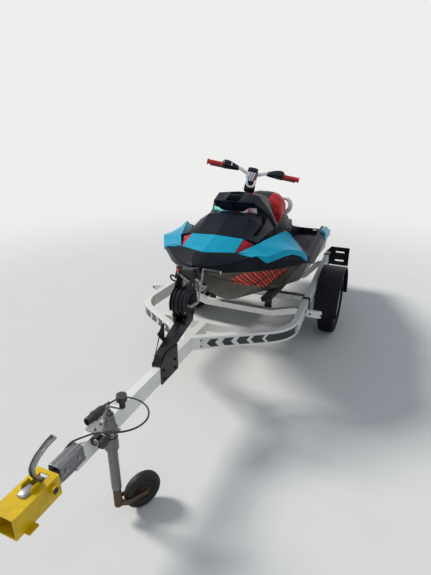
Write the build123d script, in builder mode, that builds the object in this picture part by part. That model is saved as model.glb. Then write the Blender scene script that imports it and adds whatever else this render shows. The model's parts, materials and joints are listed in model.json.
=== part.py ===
"""A small personal watercraft on its single-axle trailer.

The bow and the coupling point to -Y, port is +X, and the ground is at z = 0.
Lengths are in millimetres. Places along the trailer are given from its axle, and the craft has
its own plane, tipped bow-up on the trailer, with its origin at the bow on the keel line.
"""
import os
from math import atan2, cos, degrees, hypot, pi, radians, sin, sqrt, tan

from build123d import *

os.makedirs("parts", exist_ok=True)

# Overall places on the trailer, ahead of the axle or behind it
LOCK_FRONT_AHEAD = 3010.0
DRAWBAR_FRONT_AHEAD = 2650.0
CROSS_REAR_AHEAD = 1250.0
RAIL_MEET_AHEAD = 1529.0
RAIL_CORNER_AHEAD = 1146.0
RAIL_TAIL_BEHIND = 730.0
MID_CROSS_AHEAD = 600.0
REAR_CROSS_BEHIND = 620.0
BOW_AHEAD = 1472.0
MARKER_AHEAD = 780.0
JOCKEY_AHEAD = 2480.0

# Trailer frame
FRAME_TOP = 531.0
DRAWBAR_WIDTH = 50.0
DRAWBAR_HEIGHT = 100.0
RAIL_WIDTH = 45.0
RAIL_HEIGHT = 90.0
TUBE_WALL = 3.0
RAIL_BEND_RADIUS = 272.0
CROSS_WIDTH = 50.0
CROSS_HEIGHT = 60.0
DIP_TUBE = 50.0
DIP_BEND_RADIUS = 60.0
MID_DIP_Z = 362.0
REAR_DIP_Z = 262.0
DIP_FLAT_HALF = 290.0
FRAME_BOTTOM = FRAME_TOP - RAIL_HEIGHT

# Axle and wheels
WHEEL_RADIUS = 281.0
TYRE_WIDTH = 145.0
RIM_RADIUS = 165.0
RIM_WIDTH = 112.0
TRACK_HALF = 676.0
AXLE_TUBE_HALF = TRACK_HALF - 124
RAIL_CORNER_X = TRACK_HALF - 86
RAIL_TAIL_X = TRACK_HALF - 174
AXLE_TUBE = 60.0
AXLE_TUBE_Z = 322.0
STUB_RADIUS = 17.0
HUB_RADIUS = 36.0
HUB_LENGTH = 90.0
RUN_CLEARANCE = 0.1
ARM_THICKNESS = 16.0
ARM_LEAD = 120.0
MUDGUARD_RADIUS = WHEEL_RADIUS + 49
MUDGUARD_WIDTH = 196.0
MUDGUARD_WALL = 4.0
MUDGUARD_LIP = 14.0

# Coupling, jockey wheel and winch
SHANK_WIDTH = 60.0
SHANK_HEIGHT = 60.0
BALL_RADIUS = 25.3
CUP_RADIUS = 33.0
CUP_HALF = 24.0
BALL_AHEAD = 2900.0
LOCK_LENGTH = 235.0
LOCK_WIDTH = 110.0
LOCK_HEIGHT = 100.0
LOCK_WALL = 4.0
JOCKEY_X = 85.0
JOCKEY_TUBE_RADIUS = 24.0
JOCKEY_LEG_RADIUS = 20.5
JOCKEY_TUBE_BOTTOM = 200.0
JOCKEY_TUBE_TOP = 625.0
JOCKEY_CLEARANCE = 0.3
JOCKEY_WHEEL_RADIUS = 100.0
JOCKEY_WHEEL_WIDTH = 50.0
JOCKEY_TRAIL = 135.0
JOCKEY_HEADING = 28.0
WINCH_SHAFT_AHEAD = 1620.0
WINCH_SHAFT_Z = 800.0
WINCH_DRUM_AHEAD = 1545.0
STOP_AHEAD = 1515.0
STOP_Z = 965.0

# The craft
BOW_KEEL_Z = 491.5
BOW_UP = 4.5
HULL_LENGTH = 2620.0
HALF_BEAM = 590.0
WIDEST = 900.0
STERN_HALF = 435.0
BOND_BOW_Z = 455.0
BOND_STERN_Z = 300.0
DEADRISE = 20.0
CHINE_HALF = 430.0
FLOOR_SKIN = 8.0
SEAT_GAP = 0.3

# The stern nozzle ends the craft, and the lock the trailer, so their span centres the model
NOZZLE_REACH = 170.0
NOZZLE_END = HULL_LENGTH + NOZZLE_REACH
TAIL_REACH = -BOW_AHEAD + NOZZLE_END * cos(radians(BOW_UP)) + 190.0 * sin(radians(BOW_UP))
AXLE_Y = (LOCK_FRONT_AHEAD - TAIL_REACH) / 2

craft = Plane(
    origin=(0, AXLE_Y - BOW_AHEAD, BOW_KEEL_Z),
    x_dir=(1, 0, 0),
    z_dir=(0, sin(radians(BOW_UP)), cos(radians(BOW_UP))),
)


def on_craft(place):
    """Plane at a place that is given in the craft's own frame."""
    return Plane(craft.location * place)


def side(x):
    """Upright plane along the craft, x to port: sketch x runs aft, sketch y up."""
    return on_craft(Plane.YZ.offset(x).location)


def station(y):
    """Upright plane across the craft, y behind the bow: sketch x runs to port, sketch y up."""
    return on_craft(Plane.XZ.offset(-y).location)


def level(z):
    """Plane along the craft's decks: sketch x runs to port, sketch y aft."""
    return on_craft(Plane.XY.offset(z).location)


def under(plane, x, y):
    """Height of a sloping plane over the point x, y."""
    normal = plane.z_dir
    return plane.origin.Z - (normal.X * (x - plane.origin.X) + normal.Y * (y - plane.origin.Y)) / normal.Z


def save(piece, name):
    piece.label = name
    export_step(piece, f"parts/{name}.step")


def ahead(distance):
    """The y of a place that far ahead of the axle."""
    return AXLE_Y - distance


def across(y):
    """Upright plane across the trailer: sketch x runs to port, sketch y up, extrudes forward."""
    return Plane.XZ.offset(-y)


def lengthwise(x):
    """Upright plane along the trailer: sketch x runs aft, sketch y up, extrudes to port."""
    return Plane.YZ.offset(x)


def flat(z):
    return Plane.XY.offset(z)


HANDS = (("left", 1), ("right", -1))

# Trailer frame: a drawbar that runs back to a cross-member, inside two bent side rails
cross_front_y = ahead(CROSS_REAR_AHEAD + CROSS_WIDTH)
cross_rear_y = ahead(CROSS_REAR_AHEAD)
rail_angle = atan2(RAIL_MEET_AHEAD - RAIL_CORNER_AHEAD, RAIL_CORNER_X)
rail_toe = atan2(RAIL_CORNER_X - RAIL_TAIL_X, RAIL_CORNER_AHEAD + RAIL_TAIL_BEHIND)


def rail_x(y):
    """Centre line of a side rail's straight rear run, to port."""
    return RAIL_CORNER_X - (y - ahead(RAIL_CORNER_AHEAD)) * tan(rail_toe)


def rail_front_inner_x(y):
    """Inner face of a side rail's straight front run, to port."""
    return (y - ahead(RAIL_MEET_AHEAD) - RAIL_WIDTH / 2 / cos(rail_angle)) / tan(rail_angle)


with BuildPart() as drawbar:
    with BuildSketch(across(cross_front_y)):
        with Locations((0, FRAME_TOP - DRAWBAR_HEIGHT / 2)):
            Rectangle(DRAWBAR_WIDTH, DRAWBAR_HEIGHT)
            Rectangle(DRAWBAR_WIDTH - 2 * TUBE_WALL, DRAWBAR_HEIGHT - 2 * TUBE_WALL, mode=Mode.SUBTRACT)
    extrude(amount=DRAWBAR_FRONT_AHEAD - CROSS_REAR_AHEAD - CROSS_WIDTH)
save(drawbar.part, "drawbar")

for hand_name, hand in HANDS:
    with BuildPart() as rail:
        with BuildLine(flat(FRAME_TOP - RAIL_HEIGHT / 2)) as rail_run:
            FilletPolyline(
                (0, ahead(RAIL_MEET_AHEAD)),
                (hand * RAIL_CORNER_X, ahead(RAIL_CORNER_AHEAD)),
                (hand * RAIL_TAIL_X, AXLE_Y + RAIL_TAIL_BEHIND),
                radius=RAIL_BEND_RADIUS,
            )
        with BuildSketch(Plane(origin=rail_run.line @ 0, x_dir=(0, 0, 1), z_dir=rail_run.line % 0)):
            Rectangle(RAIL_HEIGHT, RAIL_WIDTH)
            Rectangle(RAIL_HEIGHT - 2 * TUBE_WALL, RAIL_WIDTH - 2 * TUBE_WALL, mode=Mode.SUBTRACT)
        sweep()
        split(
            bisect_by=lengthwise(hand * DRAWBAR_WIDTH / 2),
            keep=Keep.TOP if hand > 0 else Keep.BOTTOM,
        )
        with BuildSketch(Plane(origin=rail_run.line @ 1, x_dir=(0, 0, 1), z_dir=rail_run.line % 1)):
            Rectangle(RAIL_HEIGHT, RAIL_WIDTH)
        extrude(amount=TUBE_WALL)
    save(rail.part, f"side_rail_{hand_name}")

with BuildPart() as front_crossmember:
    with BuildSketch(flat(FRAME_TOP)):
        with BuildLine():
            front_x = rail_front_inner_x(cross_front_y)
            rear_x = rail_front_inner_x(cross_rear_y)
            Polyline(
                (-front_x, cross_front_y),
                (front_x, cross_front_y),
                (rear_x, cross_rear_y),
                (-rear_x, cross_rear_y),
                close=True,
            )
        make_face()
    extrude(amount=-CROSS_HEIGHT)
    with BuildSketch(Plane.YZ):
        with Locations(((cross_front_y + cross_rear_y) / 2, FRAME_TOP - CROSS_HEIGHT / 2)):
            Rectangle(CROSS_WIDTH - 2 * TUBE_WALL, CROSS_HEIGHT - 2 * TUBE_WALL)
    extrude(amount=rear_x, both=True, mode=Mode.SUBTRACT)
save(front_crossmember.part, "front_crossmember")

# name, place along the trailer, height of the dip under the keel
DIPPED = (("mid_crossmember", ahead(MID_CROSS_AHEAD), MID_DIP_Z),
          ("rear_crossmember", AXLE_Y + REAR_CROSS_BEHIND, REAR_DIP_Z))
DIP_SHOULDER = 60.0
for member_name, member_y, dip_z in DIPPED:
    end_z = FRAME_BOTTOM - DIP_TUBE / 2
    end_x = rail_x(member_y) + RAIL_WIDTH / 2
    shoulder_x = end_x - RAIL_WIDTH - DIP_SHOULDER
    with BuildPart() as member:
        with BuildLine(across(member_y)) as dip_run:
            FilletPolyline(
                (-end_x, end_z),
                (-shoulder_x, end_z),
                (-DIP_FLAT_HALF, dip_z),
                (DIP_FLAT_HALF, dip_z),
                (shoulder_x, end_z),
                (end_x, end_z),
                radius=DIP_BEND_RADIUS,
            )
        with BuildSketch(Plane(origin=dip_run.line @ 0, x_dir=(0, 1, 0), z_dir=dip_run.line % 0)):
            Rectangle(DIP_TUBE, DIP_TUBE)
            Rectangle(DIP_TUBE - 2 * TUBE_WALL, DIP_TUBE - 2 * TUBE_WALL, mode=Mode.SUBTRACT)
        sweep()
    save(member.part, member_name)

# Rubber torsion axle: a square tube under the rails, with a trailing arm and a stub at each end
beam_y = ahead(ARM_LEAD)
with BuildPart() as axle_beam:
    with BuildSketch(Plane.YZ):
        with Locations((beam_y, AXLE_TUBE_Z)):
            RectangleRounded(AXLE_TUBE, AXLE_TUBE, 10)
            RectangleRounded(AXLE_TUBE - 2 * TUBE_WALL - 2, AXLE_TUBE - 2 * TUBE_WALL - 2, 6, mode=Mode.SUBTRACT)
    extrude(amount=AXLE_TUBE_HALF, both=True)
    bracket_x = rail_x(beam_y)
    for hand_name, hand in HANDS:
        with BuildSketch(lengthwise(hand * bracket_x)):
            with BuildLine():
                Polyline(
                    (beam_y - 70, FRAME_BOTTOM),
                    (beam_y + 70, FRAME_BOTTOM),
                    (beam_y + 70, FRAME_BOTTOM - 12),
                    (beam_y + 34, AXLE_TUBE_Z + AXLE_TUBE / 2),
                    (beam_y - 34, AXLE_TUBE_Z + AXLE_TUBE / 2),
                    (beam_y - 70, FRAME_BOTTOM - 12),
                    close=True,
                )
            make_face()
        extrude(amount=5, both=True)
save(axle_beam.part, "axle_beam")

arm_x = AXLE_TUBE_HALF
hub_inner = TRACK_HALF - 60
for hand_name, hand in HANDS:
    with BuildPart() as arm:
        with BuildSketch(lengthwise(hand * arm_x)):
            with BuildLine():
                Line((beam_y, AXLE_TUBE_Z + 34), (AXLE_Y, WHEEL_RADIUS + 26))
                Line((beam_y, AXLE_TUBE_Z - 34), (AXLE_Y, WHEEL_RADIUS - 26))
                Line((beam_y, AXLE_TUBE_Z + 34), (beam_y, AXLE_TUBE_Z - 34))
                Line((AXLE_Y, WHEEL_RADIUS + 26), (AXLE_Y, WHEEL_RADIUS - 26))
            make_face()
            with Locations((beam_y, AXLE_TUBE_Z)):
                Circle(34)
            with Locations((AXLE_Y, WHEEL_RADIUS)):
                Circle(26)
        extrude(amount=hand * ARM_THICKNESS)
        with BuildSketch(lengthwise(hand * (arm_x + ARM_THICKNESS))):
            with Locations((AXLE_Y, WHEEL_RADIUS)):
                Circle(26)
        extrude(amount=hand * (hub_inner - arm_x - ARM_THICKNESS - 6))
        with BuildSketch(lengthwise(hand * (arm_x + ARM_THICKNESS))):
            with Locations((AXLE_Y, WHEEL_RADIUS)):
                Circle(STUB_RADIUS)
        extrude(amount=hand * (TRACK_HALF + 20 - arm_x - ARM_THICKNESS))
    save(arm.part, f"swing_arm_{hand_name}")

# Road wheels: a pressed rim with its hub, and a hollow tyre
RIM_FLANGE = RIM_RADIUS + 13
RIM_HALF = RIM_WIDTH / 2
RIM_OUTLINE = (
    (-RIM_HALF, RIM_FLANGE), (-RIM_HALF + 6, RIM_FLANGE), (-RIM_HALF + 8, RIM_RADIUS),
    (-22, RIM_RADIUS), (-14, RIM_RADIUS - 16), (14, RIM_RADIUS - 16), (22, RIM_RADIUS),
    (RIM_HALF - 8, RIM_RADIUS), (RIM_HALF - 6, RIM_FLANGE), (RIM_HALF, RIM_FLANGE),
    (RIM_HALF - 4, RIM_RADIUS - 5), (20, RIM_RADIUS - 5), (12, RIM_RADIUS - 21),
    (-12, RIM_RADIUS - 21), (-20, RIM_RADIUS - 5), (-RIM_HALF + 4, RIM_RADIUS - 5),
)
DISC_OUTLINE = (
    (4, RIM_RADIUS - 18), (4, 118), (20, 95), (20, HUB_RADIUS - 2),
    (27, HUB_RADIUS - 2), (27, 98), (10, 122), (10, RIM_RADIUS - 18),
)
TYRE_HALF = TYRE_WIDTH / 2
BEAD_HALF = RIM_HALF - 9
TYRE_OUTLINE = (
    (BEAD_HALF, RIM_RADIUS + SEAT_GAP), (BEAD_HALF, RIM_FLANGE + 3), (TYRE_HALF - 4, RIM_FLANGE + 26),
    (TYRE_HALF, 222), (TYRE_HALF - 5, 255), (TYRE_HALF - 22, WHEEL_RADIUS - 3), (0, WHEEL_RADIUS),
)
TYRE_INSIDE = (
    (BEAD_HALF - 11, RIM_RADIUS + SEAT_GAP), (BEAD_HALF - 11, RIM_FLANGE + 8),
    (TYRE_HALF - 16, 222), (TYRE_HALF - 18, 252), (TYRE_HALF - 30, WHEEL_RADIUS - 12),
    (0, WHEEL_RADIUS - 10),
)
VENT_CIRCLE = 106.0
VENT_RADIUS = 9.0
VENT_COUNT = 8
for hand_name, hand in HANDS:
    wheel_plane = Plane(
        origin=(hand * TRACK_HALF, AXLE_Y, WHEEL_RADIUS), x_dir=(hand, 0, 0), z_dir=(0, -hand, 0)
    )
    wheel_axis = Axis((0, AXLE_Y, WHEEL_RADIUS), (1, 0, 0))
    with BuildPart() as rim:
        for outline in (RIM_OUTLINE, DISC_OUTLINE):
            with BuildSketch(wheel_plane):
                with BuildLine():
                    Polyline(*outline, close=True)
                make_face()
            revolve(axis=wheel_axis)
        with BuildSketch(lengthwise(hand * hub_inner)):
            with Locations((AXLE_Y, WHEEL_RADIUS)):
                Circle(HUB_RADIUS)
        extrude(amount=hand * HUB_LENGTH)
        with BuildSketch(lengthwise(hand * (hub_inner + HUB_LENGTH))):
            with Locations((AXLE_Y, WHEEL_RADIUS)):
                Circle(24)
        extrude(amount=hand * 22)
        with BuildSketch(lengthwise(hand * hub_inner)):
            with Locations((AXLE_Y, WHEEL_RADIUS)):
                Circle(STUB_RADIUS + RUN_CLEARANCE)
        extrude(amount=hand * (TRACK_HALF + 24 - hub_inner), mode=Mode.SUBTRACT)
        with BuildSketch(lengthwise(hand * TRACK_HALF)):
            with Locations((AXLE_Y, WHEEL_RADIUS)):
                with PolarLocations(VENT_CIRCLE, VENT_COUNT):
                    Circle(VENT_RADIUS)
        extrude(amount=hand * 40, mode=Mode.SUBTRACT)
    save(rim.part, f"rim_{hand_name}")
    with BuildPart() as tyre:
        with BuildSketch(wheel_plane):
            with BuildLine():
                Polyline(*TYRE_OUTLINE, *[(-x, r) for x, r in reversed(TYRE_OUTLINE[:-1])], close=True)
            make_face()
            with BuildLine():
                Polyline(*TYRE_INSIDE, *[(-x, r) for x, r in reversed(TYRE_INSIDE[:-1])], close=True)
            make_face(mode=Mode.SUBTRACT)
        revolve(axis=wheel_axis)
    save(tyre.part, f"tyre_{hand_name}")

# Mudguards: a half-round moulding over each wheel with a lip down each side, on two stays
mudguard_inner_x = TRACK_HALF - MUDGUARD_WIDTH / 2
with BuildPart() as mudguards:
    for hand_name, hand in HANDS:
        with BuildSketch(lengthwise(hand * mudguard_inner_x)):
            with Locations((AXLE_Y, WHEEL_RADIUS)):
                Circle(MUDGUARD_RADIUS)
        extrude(amount=hand * MUDGUARD_WIDTH)
        with BuildSketch(lengthwise(hand * (mudguard_inner_x + MUDGUARD_WALL))):
            with Locations((AXLE_Y, WHEEL_RADIUS)):
                Circle(MUDGUARD_RADIUS - MUDGUARD_WALL)
        extrude(amount=hand * (MUDGUARD_WIDTH - 2 * MUDGUARD_WALL), mode=Mode.SUBTRACT)
        with BuildSketch(lengthwise(hand * (mudguard_inner_x - 1))):
            with Locations((AXLE_Y, WHEEL_RADIUS)):
                Circle(MUDGUARD_RADIUS - MUDGUARD_LIP)
        extrude(amount=hand * (MUDGUARD_WIDTH + 2), mode=Mode.SUBTRACT)
    split(bisect_by=flat(WHEEL_RADIUS - 20), keep=Keep.TOP)
save(mudguards.part, "mudguards")

# Mudguard stays: a flat bar from the side rail under each end of the moulding
STAY_WIDTH = 30.0
stay_z = FRAME_TOP - RAIL_HEIGHT / 2
stay_reach = sqrt((MUDGUARD_RADIUS - MUDGUARD_LIP / 2) ** 2 - (stay_z - WHEEL_RADIUS) ** 2)
with BuildPart() as mudguard_stays:
    for hand_name, hand in HANDS:
        for stay_y in (AXLE_Y - stay_reach, AXLE_Y + stay_reach):
            rail_face = rail_x(stay_y - STAY_WIDTH / 2) + RAIL_WIDTH / 2 + SEAT_GAP
            with BuildSketch(lengthwise(hand * rail_face)):
                with Locations((stay_y, stay_z)):
                    Rectangle(STAY_WIDTH, STAY_WIDTH)
            extrude(amount=hand * (mudguard_inner_x - SEAT_GAP - rail_face))
save(mudguard_stays.part, "mudguard_stays")

# Front marker lamps: a flat bracket out from each rail, and a white lens facing forward
MARKER_X = TRACK_HALF - 13
MARKER_Z = 487.0
MARKER_WIDTH = 110.0
MARKER_HEIGHT = 50.0
MARKER_DEPTH = 28.0
marker_y = ahead(MARKER_AHEAD)
marker_root = rail_x(marker_y + MARKER_DEPTH) + RAIL_WIDTH / 2 / cos(rail_toe) + SEAT_GAP
with BuildPart() as marker_brackets:
    for hand_name, hand in HANDS:
        with BuildSketch(across(marker_y + MARKER_DEPTH)):
            with BuildLine():
                Polyline(
                    (hand * marker_root, MARKER_Z - 18),
                    (hand * (MARKER_X + 20), MARKER_Z - 18),
                    (hand * (MARKER_X + 20), MARKER_Z + 18),
                    (hand * marker_root, MARKER_Z + 18),
                    close=True,
                )
            make_face()
        extrude(amount=-4)
save(marker_brackets.part, "marker_brackets")
with BuildPart() as marker_lamps:
    for hand_name, hand in HANDS:
        with BuildSketch(across(marker_y + MARKER_DEPTH)):
            with Locations((hand * MARKER_X, MARKER_Z)):
                RectangleRounded(MARKER_WIDTH, MARKER_HEIGHT, 8)
        extrude(amount=MARKER_DEPTH)
save(marker_lamps.part, "marker_lamps")

# Tail lamp plates: slotted black plates at the rails' rear ends, with the lamps on their backs
TAIL_PLATE_X = TRACK_HALF - 54
TAIL_PLATE_Z = 487.0
TAIL_PLATE_WIDTH = 185.0
TAIL_PLATE_HEIGHT = 195.0
TAIL_PLATE_THICKNESS = 4.0
tail_y = AXLE_Y + RAIL_TAIL_BEHIND + TUBE_WALL + RAIL_WIDTH / 2 * sin(rail_toe) + SEAT_GAP
with BuildPart() as tail_plates:
    for hand_name, hand in HANDS:
        with BuildSketch(across(tail_y + TAIL_PLATE_THICKNESS)):
            with BuildLine():
                Polyline(
                    (hand * (RAIL_TAIL_X - 20), FRAME_TOP),
                    (hand * (TAIL_PLATE_X - TAIL_PLATE_WIDTH / 2), TAIL_PLATE_Z + TAIL_PLATE_HEIGHT / 2),
                    (hand * (TAIL_PLATE_X + TAIL_PLATE_WIDTH / 2), TAIL_PLATE_Z + TAIL_PLATE_HEIGHT / 2),
                    (hand * (TAIL_PLATE_X + TAIL_PLATE_WIDTH / 2), TAIL_PLATE_Z - TAIL_PLATE_HEIGHT / 2),
                    (hand * (TAIL_PLATE_X - TAIL_PLATE_WIDTH / 2), TAIL_PLATE_Z - TAIL_PLATE_HEIGHT / 2),
                    (hand * (RAIL_TAIL_X - 20), FRAME_BOTTOM),
                    close=True,
                )
            make_face()
            with Locations((hand * TAIL_PLATE_X, TAIL_PLATE_Z + 45), (hand * TAIL_PLATE_X, TAIL_PLATE_Z - 45)):
                SlotOverall(90, 16, mode=Mode.SUBTRACT)
        extrude(amount=TAIL_PLATE_THICKNESS)
save(tail_plates.part, "tail_plates")
with BuildPart() as tail_lamps:
    for hand_name, hand in HANDS:
        with BuildSketch(across(tail_y + TAIL_PLATE_THICKNESS)):
            with Locations((hand * TAIL_PLATE_X, TAIL_PLATE_Z)):
                RectangleRounded(170, 130, 14)
        extrude(amount=-48)
save(tail_lamps.part, "tail_lamps")

# Coupling: a pressed shank on the drawbar's end, a ball cup, its handle and a lock box round it
shank_rear_y = ahead(DRAWBAR_FRONT_AHEAD)
ball_y = ahead(BALL_AHEAD)
shank_z = FRAME_TOP - DRAWBAR_HEIGHT / 2
cup_z = shank_z - 8
with BuildPart() as coupling:
    with BuildSketch(across(shank_rear_y)):
        with Locations((0, shank_z)):
            Rectangle(SHANK_WIDTH - 6, SHANK_HEIGHT + 4)
    with BuildSketch(across(ball_y + CUP_RADIUS - 4)):
        with Locations((0, cup_z)):
            RectangleRounded(44, 46, 12)
    loft(ruled=True)
    with BuildSketch(flat(cup_z)):
        with Locations((0, ball_y)):
            Circle(CUP_RADIUS)
    extrude(amount=CUP_HALF, both=True)
    with BuildSketch(Plane.YZ):
        with BuildLine():
            CenterArc((ball_y, cup_z - 6), BALL_RADIUS, -90, 180)
            Line((ball_y, cup_z - 6 + BALL_RADIUS), (ball_y, cup_z - 6 - BALL_RADIUS))
        make_face()
    revolve(axis=Axis((0, ball_y, 0), (0, 0, 1)), mode=Mode.SUBTRACT)
save(coupling.part, "coupling")

HANDLE_WIDTH = 26.0
with BuildPart() as coupling_handle:
    with BuildSketch(Plane.YZ):
        with BuildLine():
            Polyline(
                (ball_y + 6, cup_z + 24 + SEAT_GAP),
                (ball_y + 30, cup_z + 24 + SEAT_GAP),
                (ball_y + 60, cup_z + 80),
                (ball_y + 190, cup_z + 190),
                (ball_y + 178, cup_z + 203),
                (ball_y + 40, cup_z + 92),
                close=True,
            )
        make_face()
    extrude(amount=HANDLE_WIDTH / 2, both=True)
save(coupling_handle.part, "coupling_handle")

lock_front_y = ahead(LOCK_FRONT_AHEAD)
lock_bottom = cup_z - CUP_HALF - LOCK_WALL - SEAT_GAP
lock_mid_z = lock_bottom + LOCK_HEIGHT / 2
lock_top = lock_bottom + LOCK_HEIGHT
LOCK_SLOT_WIDTH = 46.0
LOCK_SLOT_LENGTH = 100.0
LOCK_TAB_HEIGHT = 22.0
slot_front_y = lock_front_y + LOCK_LENGTH - 70 - LOCK_SLOT_LENGTH / 2
with BuildPart() as coupling_lock:
    with BuildSketch(across(lock_front_y + LOCK_LENGTH)):
        with Locations((0, lock_mid_z)):
            Rectangle(LOCK_WIDTH, LOCK_HEIGHT)
            Rectangle(LOCK_WIDTH - 2 * LOCK_WALL, LOCK_HEIGHT - 2 * LOCK_WALL, mode=Mode.SUBTRACT)
    extrude(amount=LOCK_LENGTH)
    with BuildSketch(flat(lock_top)):
        with Locations((0, lock_front_y + LOCK_LENGTH - 70)):
            Rectangle(LOCK_SLOT_WIDTH, LOCK_SLOT_LENGTH)
    extrude(amount=-2 * LOCK_WALL, mode=Mode.SUBTRACT)
    for hand_name, hand in HANDS:
        with BuildSketch(lengthwise(hand * (LOCK_SLOT_WIDTH / 2 + LOCK_WALL))):
            with BuildLine():
                Polyline(
                    (slot_front_y, lock_top - 1), (slot_front_y + 8, lock_top + LOCK_TAB_HEIGHT),
                    (slot_front_y + 44, lock_top + LOCK_TAB_HEIGHT), (slot_front_y + 52, lock_top - 1), close=True,
                )
            make_face()
        extrude(amount=-hand * LOCK_WALL)
    with BuildSketch(flat(lock_bottom)):
        with Locations((LOCK_WIDTH / 2 + 12, lock_front_y + 60)):
            RectangleRounded(28, 50, 6)
    extrude(amount=LOCK_WALL)
    with BuildSketch(lengthwise(LOCK_WIDTH / 2 - 1)):
        with Locations((lock_front_y + LOCK_LENGTH - 48, lock_top - 30)):
            Circle(17)
    extrude(amount=23)
save(coupling_lock.part, "coupling_lock")

# Jockey wheel: a clamp on the drawbar, an outer tube with its crank, a sliding leg, fork and wheel
jockey_y = ahead(JOCKEY_AHEAD)
CLAMP_Z = 478.0
with BuildPart() as jockey_clamp:
    with BuildSketch(flat(CLAMP_Z)):
        with Locations(((JOCKEY_X + DRAWBAR_WIDTH / 2) / 2 + 8, jockey_y)):
            Rectangle(JOCKEY_X - DRAWBAR_WIDTH / 2 + 16, 46)
        with Locations((JOCKEY_X, jockey_y)):
            Circle(JOCKEY_TUBE_RADIUS + 9)
            Circle(JOCKEY_TUBE_RADIUS, mode=Mode.SUBTRACT)
        with Locations((DRAWBAR_WIDTH / 2 - 20, jockey_y)):
            Rectangle(40, 60, mode=Mode.SUBTRACT)
    extrude(amount=35, both=True)
save(jockey_clamp.part, "jockey_clamp")

JOCKEY_HEAD_Z = 680.0
with BuildPart() as jockey_tube:
    with BuildSketch(flat(JOCKEY_TUBE_BOTTOM)):
        with Locations((JOCKEY_X, jockey_y)):
            Circle(JOCKEY_TUBE_RADIUS)
            Circle(JOCKEY_LEG_RADIUS + JOCKEY_CLEARANCE, mode=Mode.SUBTRACT)
    extrude(amount=JOCKEY_TUBE_TOP - JOCKEY_TUBE_BOTTOM)
    with BuildSketch(flat(JOCKEY_TUBE_TOP)):
        with Locations((JOCKEY_X, jockey_y)):
            Circle(JOCKEY_TUBE_RADIUS)
    extrude(amount=10)
save(jockey_tube.part, "jockey_tube")

CRANK_DROP = 84.0
CRANK_REACH = 104.0
with BuildPart() as jockey_crank:
    with BuildSketch(flat(JOCKEY_TUBE_TOP + 10)):
        with Locations((JOCKEY_X, jockey_y)):
            Circle(14)
    extrude(amount=18)
    with BuildSketch(flat(JOCKEY_TUBE_TOP + 10)):
        with Locations((JOCKEY_X, jockey_y)):
            Circle(8)
    extrude(amount=JOCKEY_HEAD_Z - JOCKEY_TUBE_TOP - 10)
    with BuildSketch(lengthwise(JOCKEY_X)):
        with BuildLine():
            Polyline(
                (jockey_y - 8, JOCKEY_HEAD_Z - 4), (jockey_y + 8, JOCKEY_HEAD_Z - 4),
                (jockey_y + CRANK_REACH - 12, JOCKEY_HEAD_Z - CRANK_DROP + 6),
                (jockey_y + CRANK_REACH + 10, JOCKEY_HEAD_Z - CRANK_DROP + 6),
                (jockey_y + CRANK_REACH + 10, JOCKEY_HEAD_Z - CRANK_DROP),
                (jockey_y + CRANK_REACH - 16, JOCKEY_HEAD_Z - CRANK_DROP),
                (jockey_y + 4, JOCKEY_HEAD_Z - 10), (jockey_y - 8, JOCKEY_HEAD_Z - 10), close=True,
            )
        make_face()
    extrude(amount=8, both=True)
    # a knob like a mushroom stands on the arm's end
    for bottom, height, radius in ((4, 44, 14), (44, 30, 25)):
        with BuildSketch(flat(JOCKEY_HEAD_Z - CRANK_DROP + bottom)):
            with Locations((JOCKEY_X, jockey_y + CRANK_REACH)):
                Circle(radius)
        extrude(amount=height)
save(jockey_crank.part, "jockey_crank")

LEG_TOP = 480.0
SWIVEL_RADIUS = 10.0
SWIVEL_LENGTH = 60.0
with BuildPart() as jockey_leg:
    with BuildSketch(flat(JOCKEY_TUBE_BOTTOM)):
        with Locations((JOCKEY_X, jockey_y)):
            Circle(JOCKEY_LEG_RADIUS)
    extrude(amount=LEG_TOP - JOCKEY_TUBE_BOTTOM)
    with BuildSketch(flat(JOCKEY_TUBE_BOTTOM)):
        with Locations((JOCKEY_X, jockey_y)):
            Circle(SWIVEL_RADIUS)
    extrude(amount=-SWIVEL_LENGTH)
save(jockey_leg.part, "jockey_leg")

# The fork trails behind the leg's axis, turned towards port
trail = Plane(
    origin=(JOCKEY_X, jockey_y, JOCKEY_WHEEL_RADIUS),
    x_dir=(cos(radians(JOCKEY_HEADING)), -sin(radians(JOCKEY_HEADING)), 0),
    z_dir=(0, 0, 1),
)
FORK_GAP = JOCKEY_WHEEL_WIDTH / 2 + 5
FORK_SIDE = 4.0
FORK_BAR = 26.0
JOCKEY_PIN_RADIUS = 8.0
socket_height = JOCKEY_TUBE_BOTTOM - JOCKEY_WHEEL_RADIUS - SEAT_GAP


def on_trail(place):
    """Plane at a place in the fork's own frame: y runs back to the wheel's pin."""
    return Plane(trail.location * place)


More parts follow.
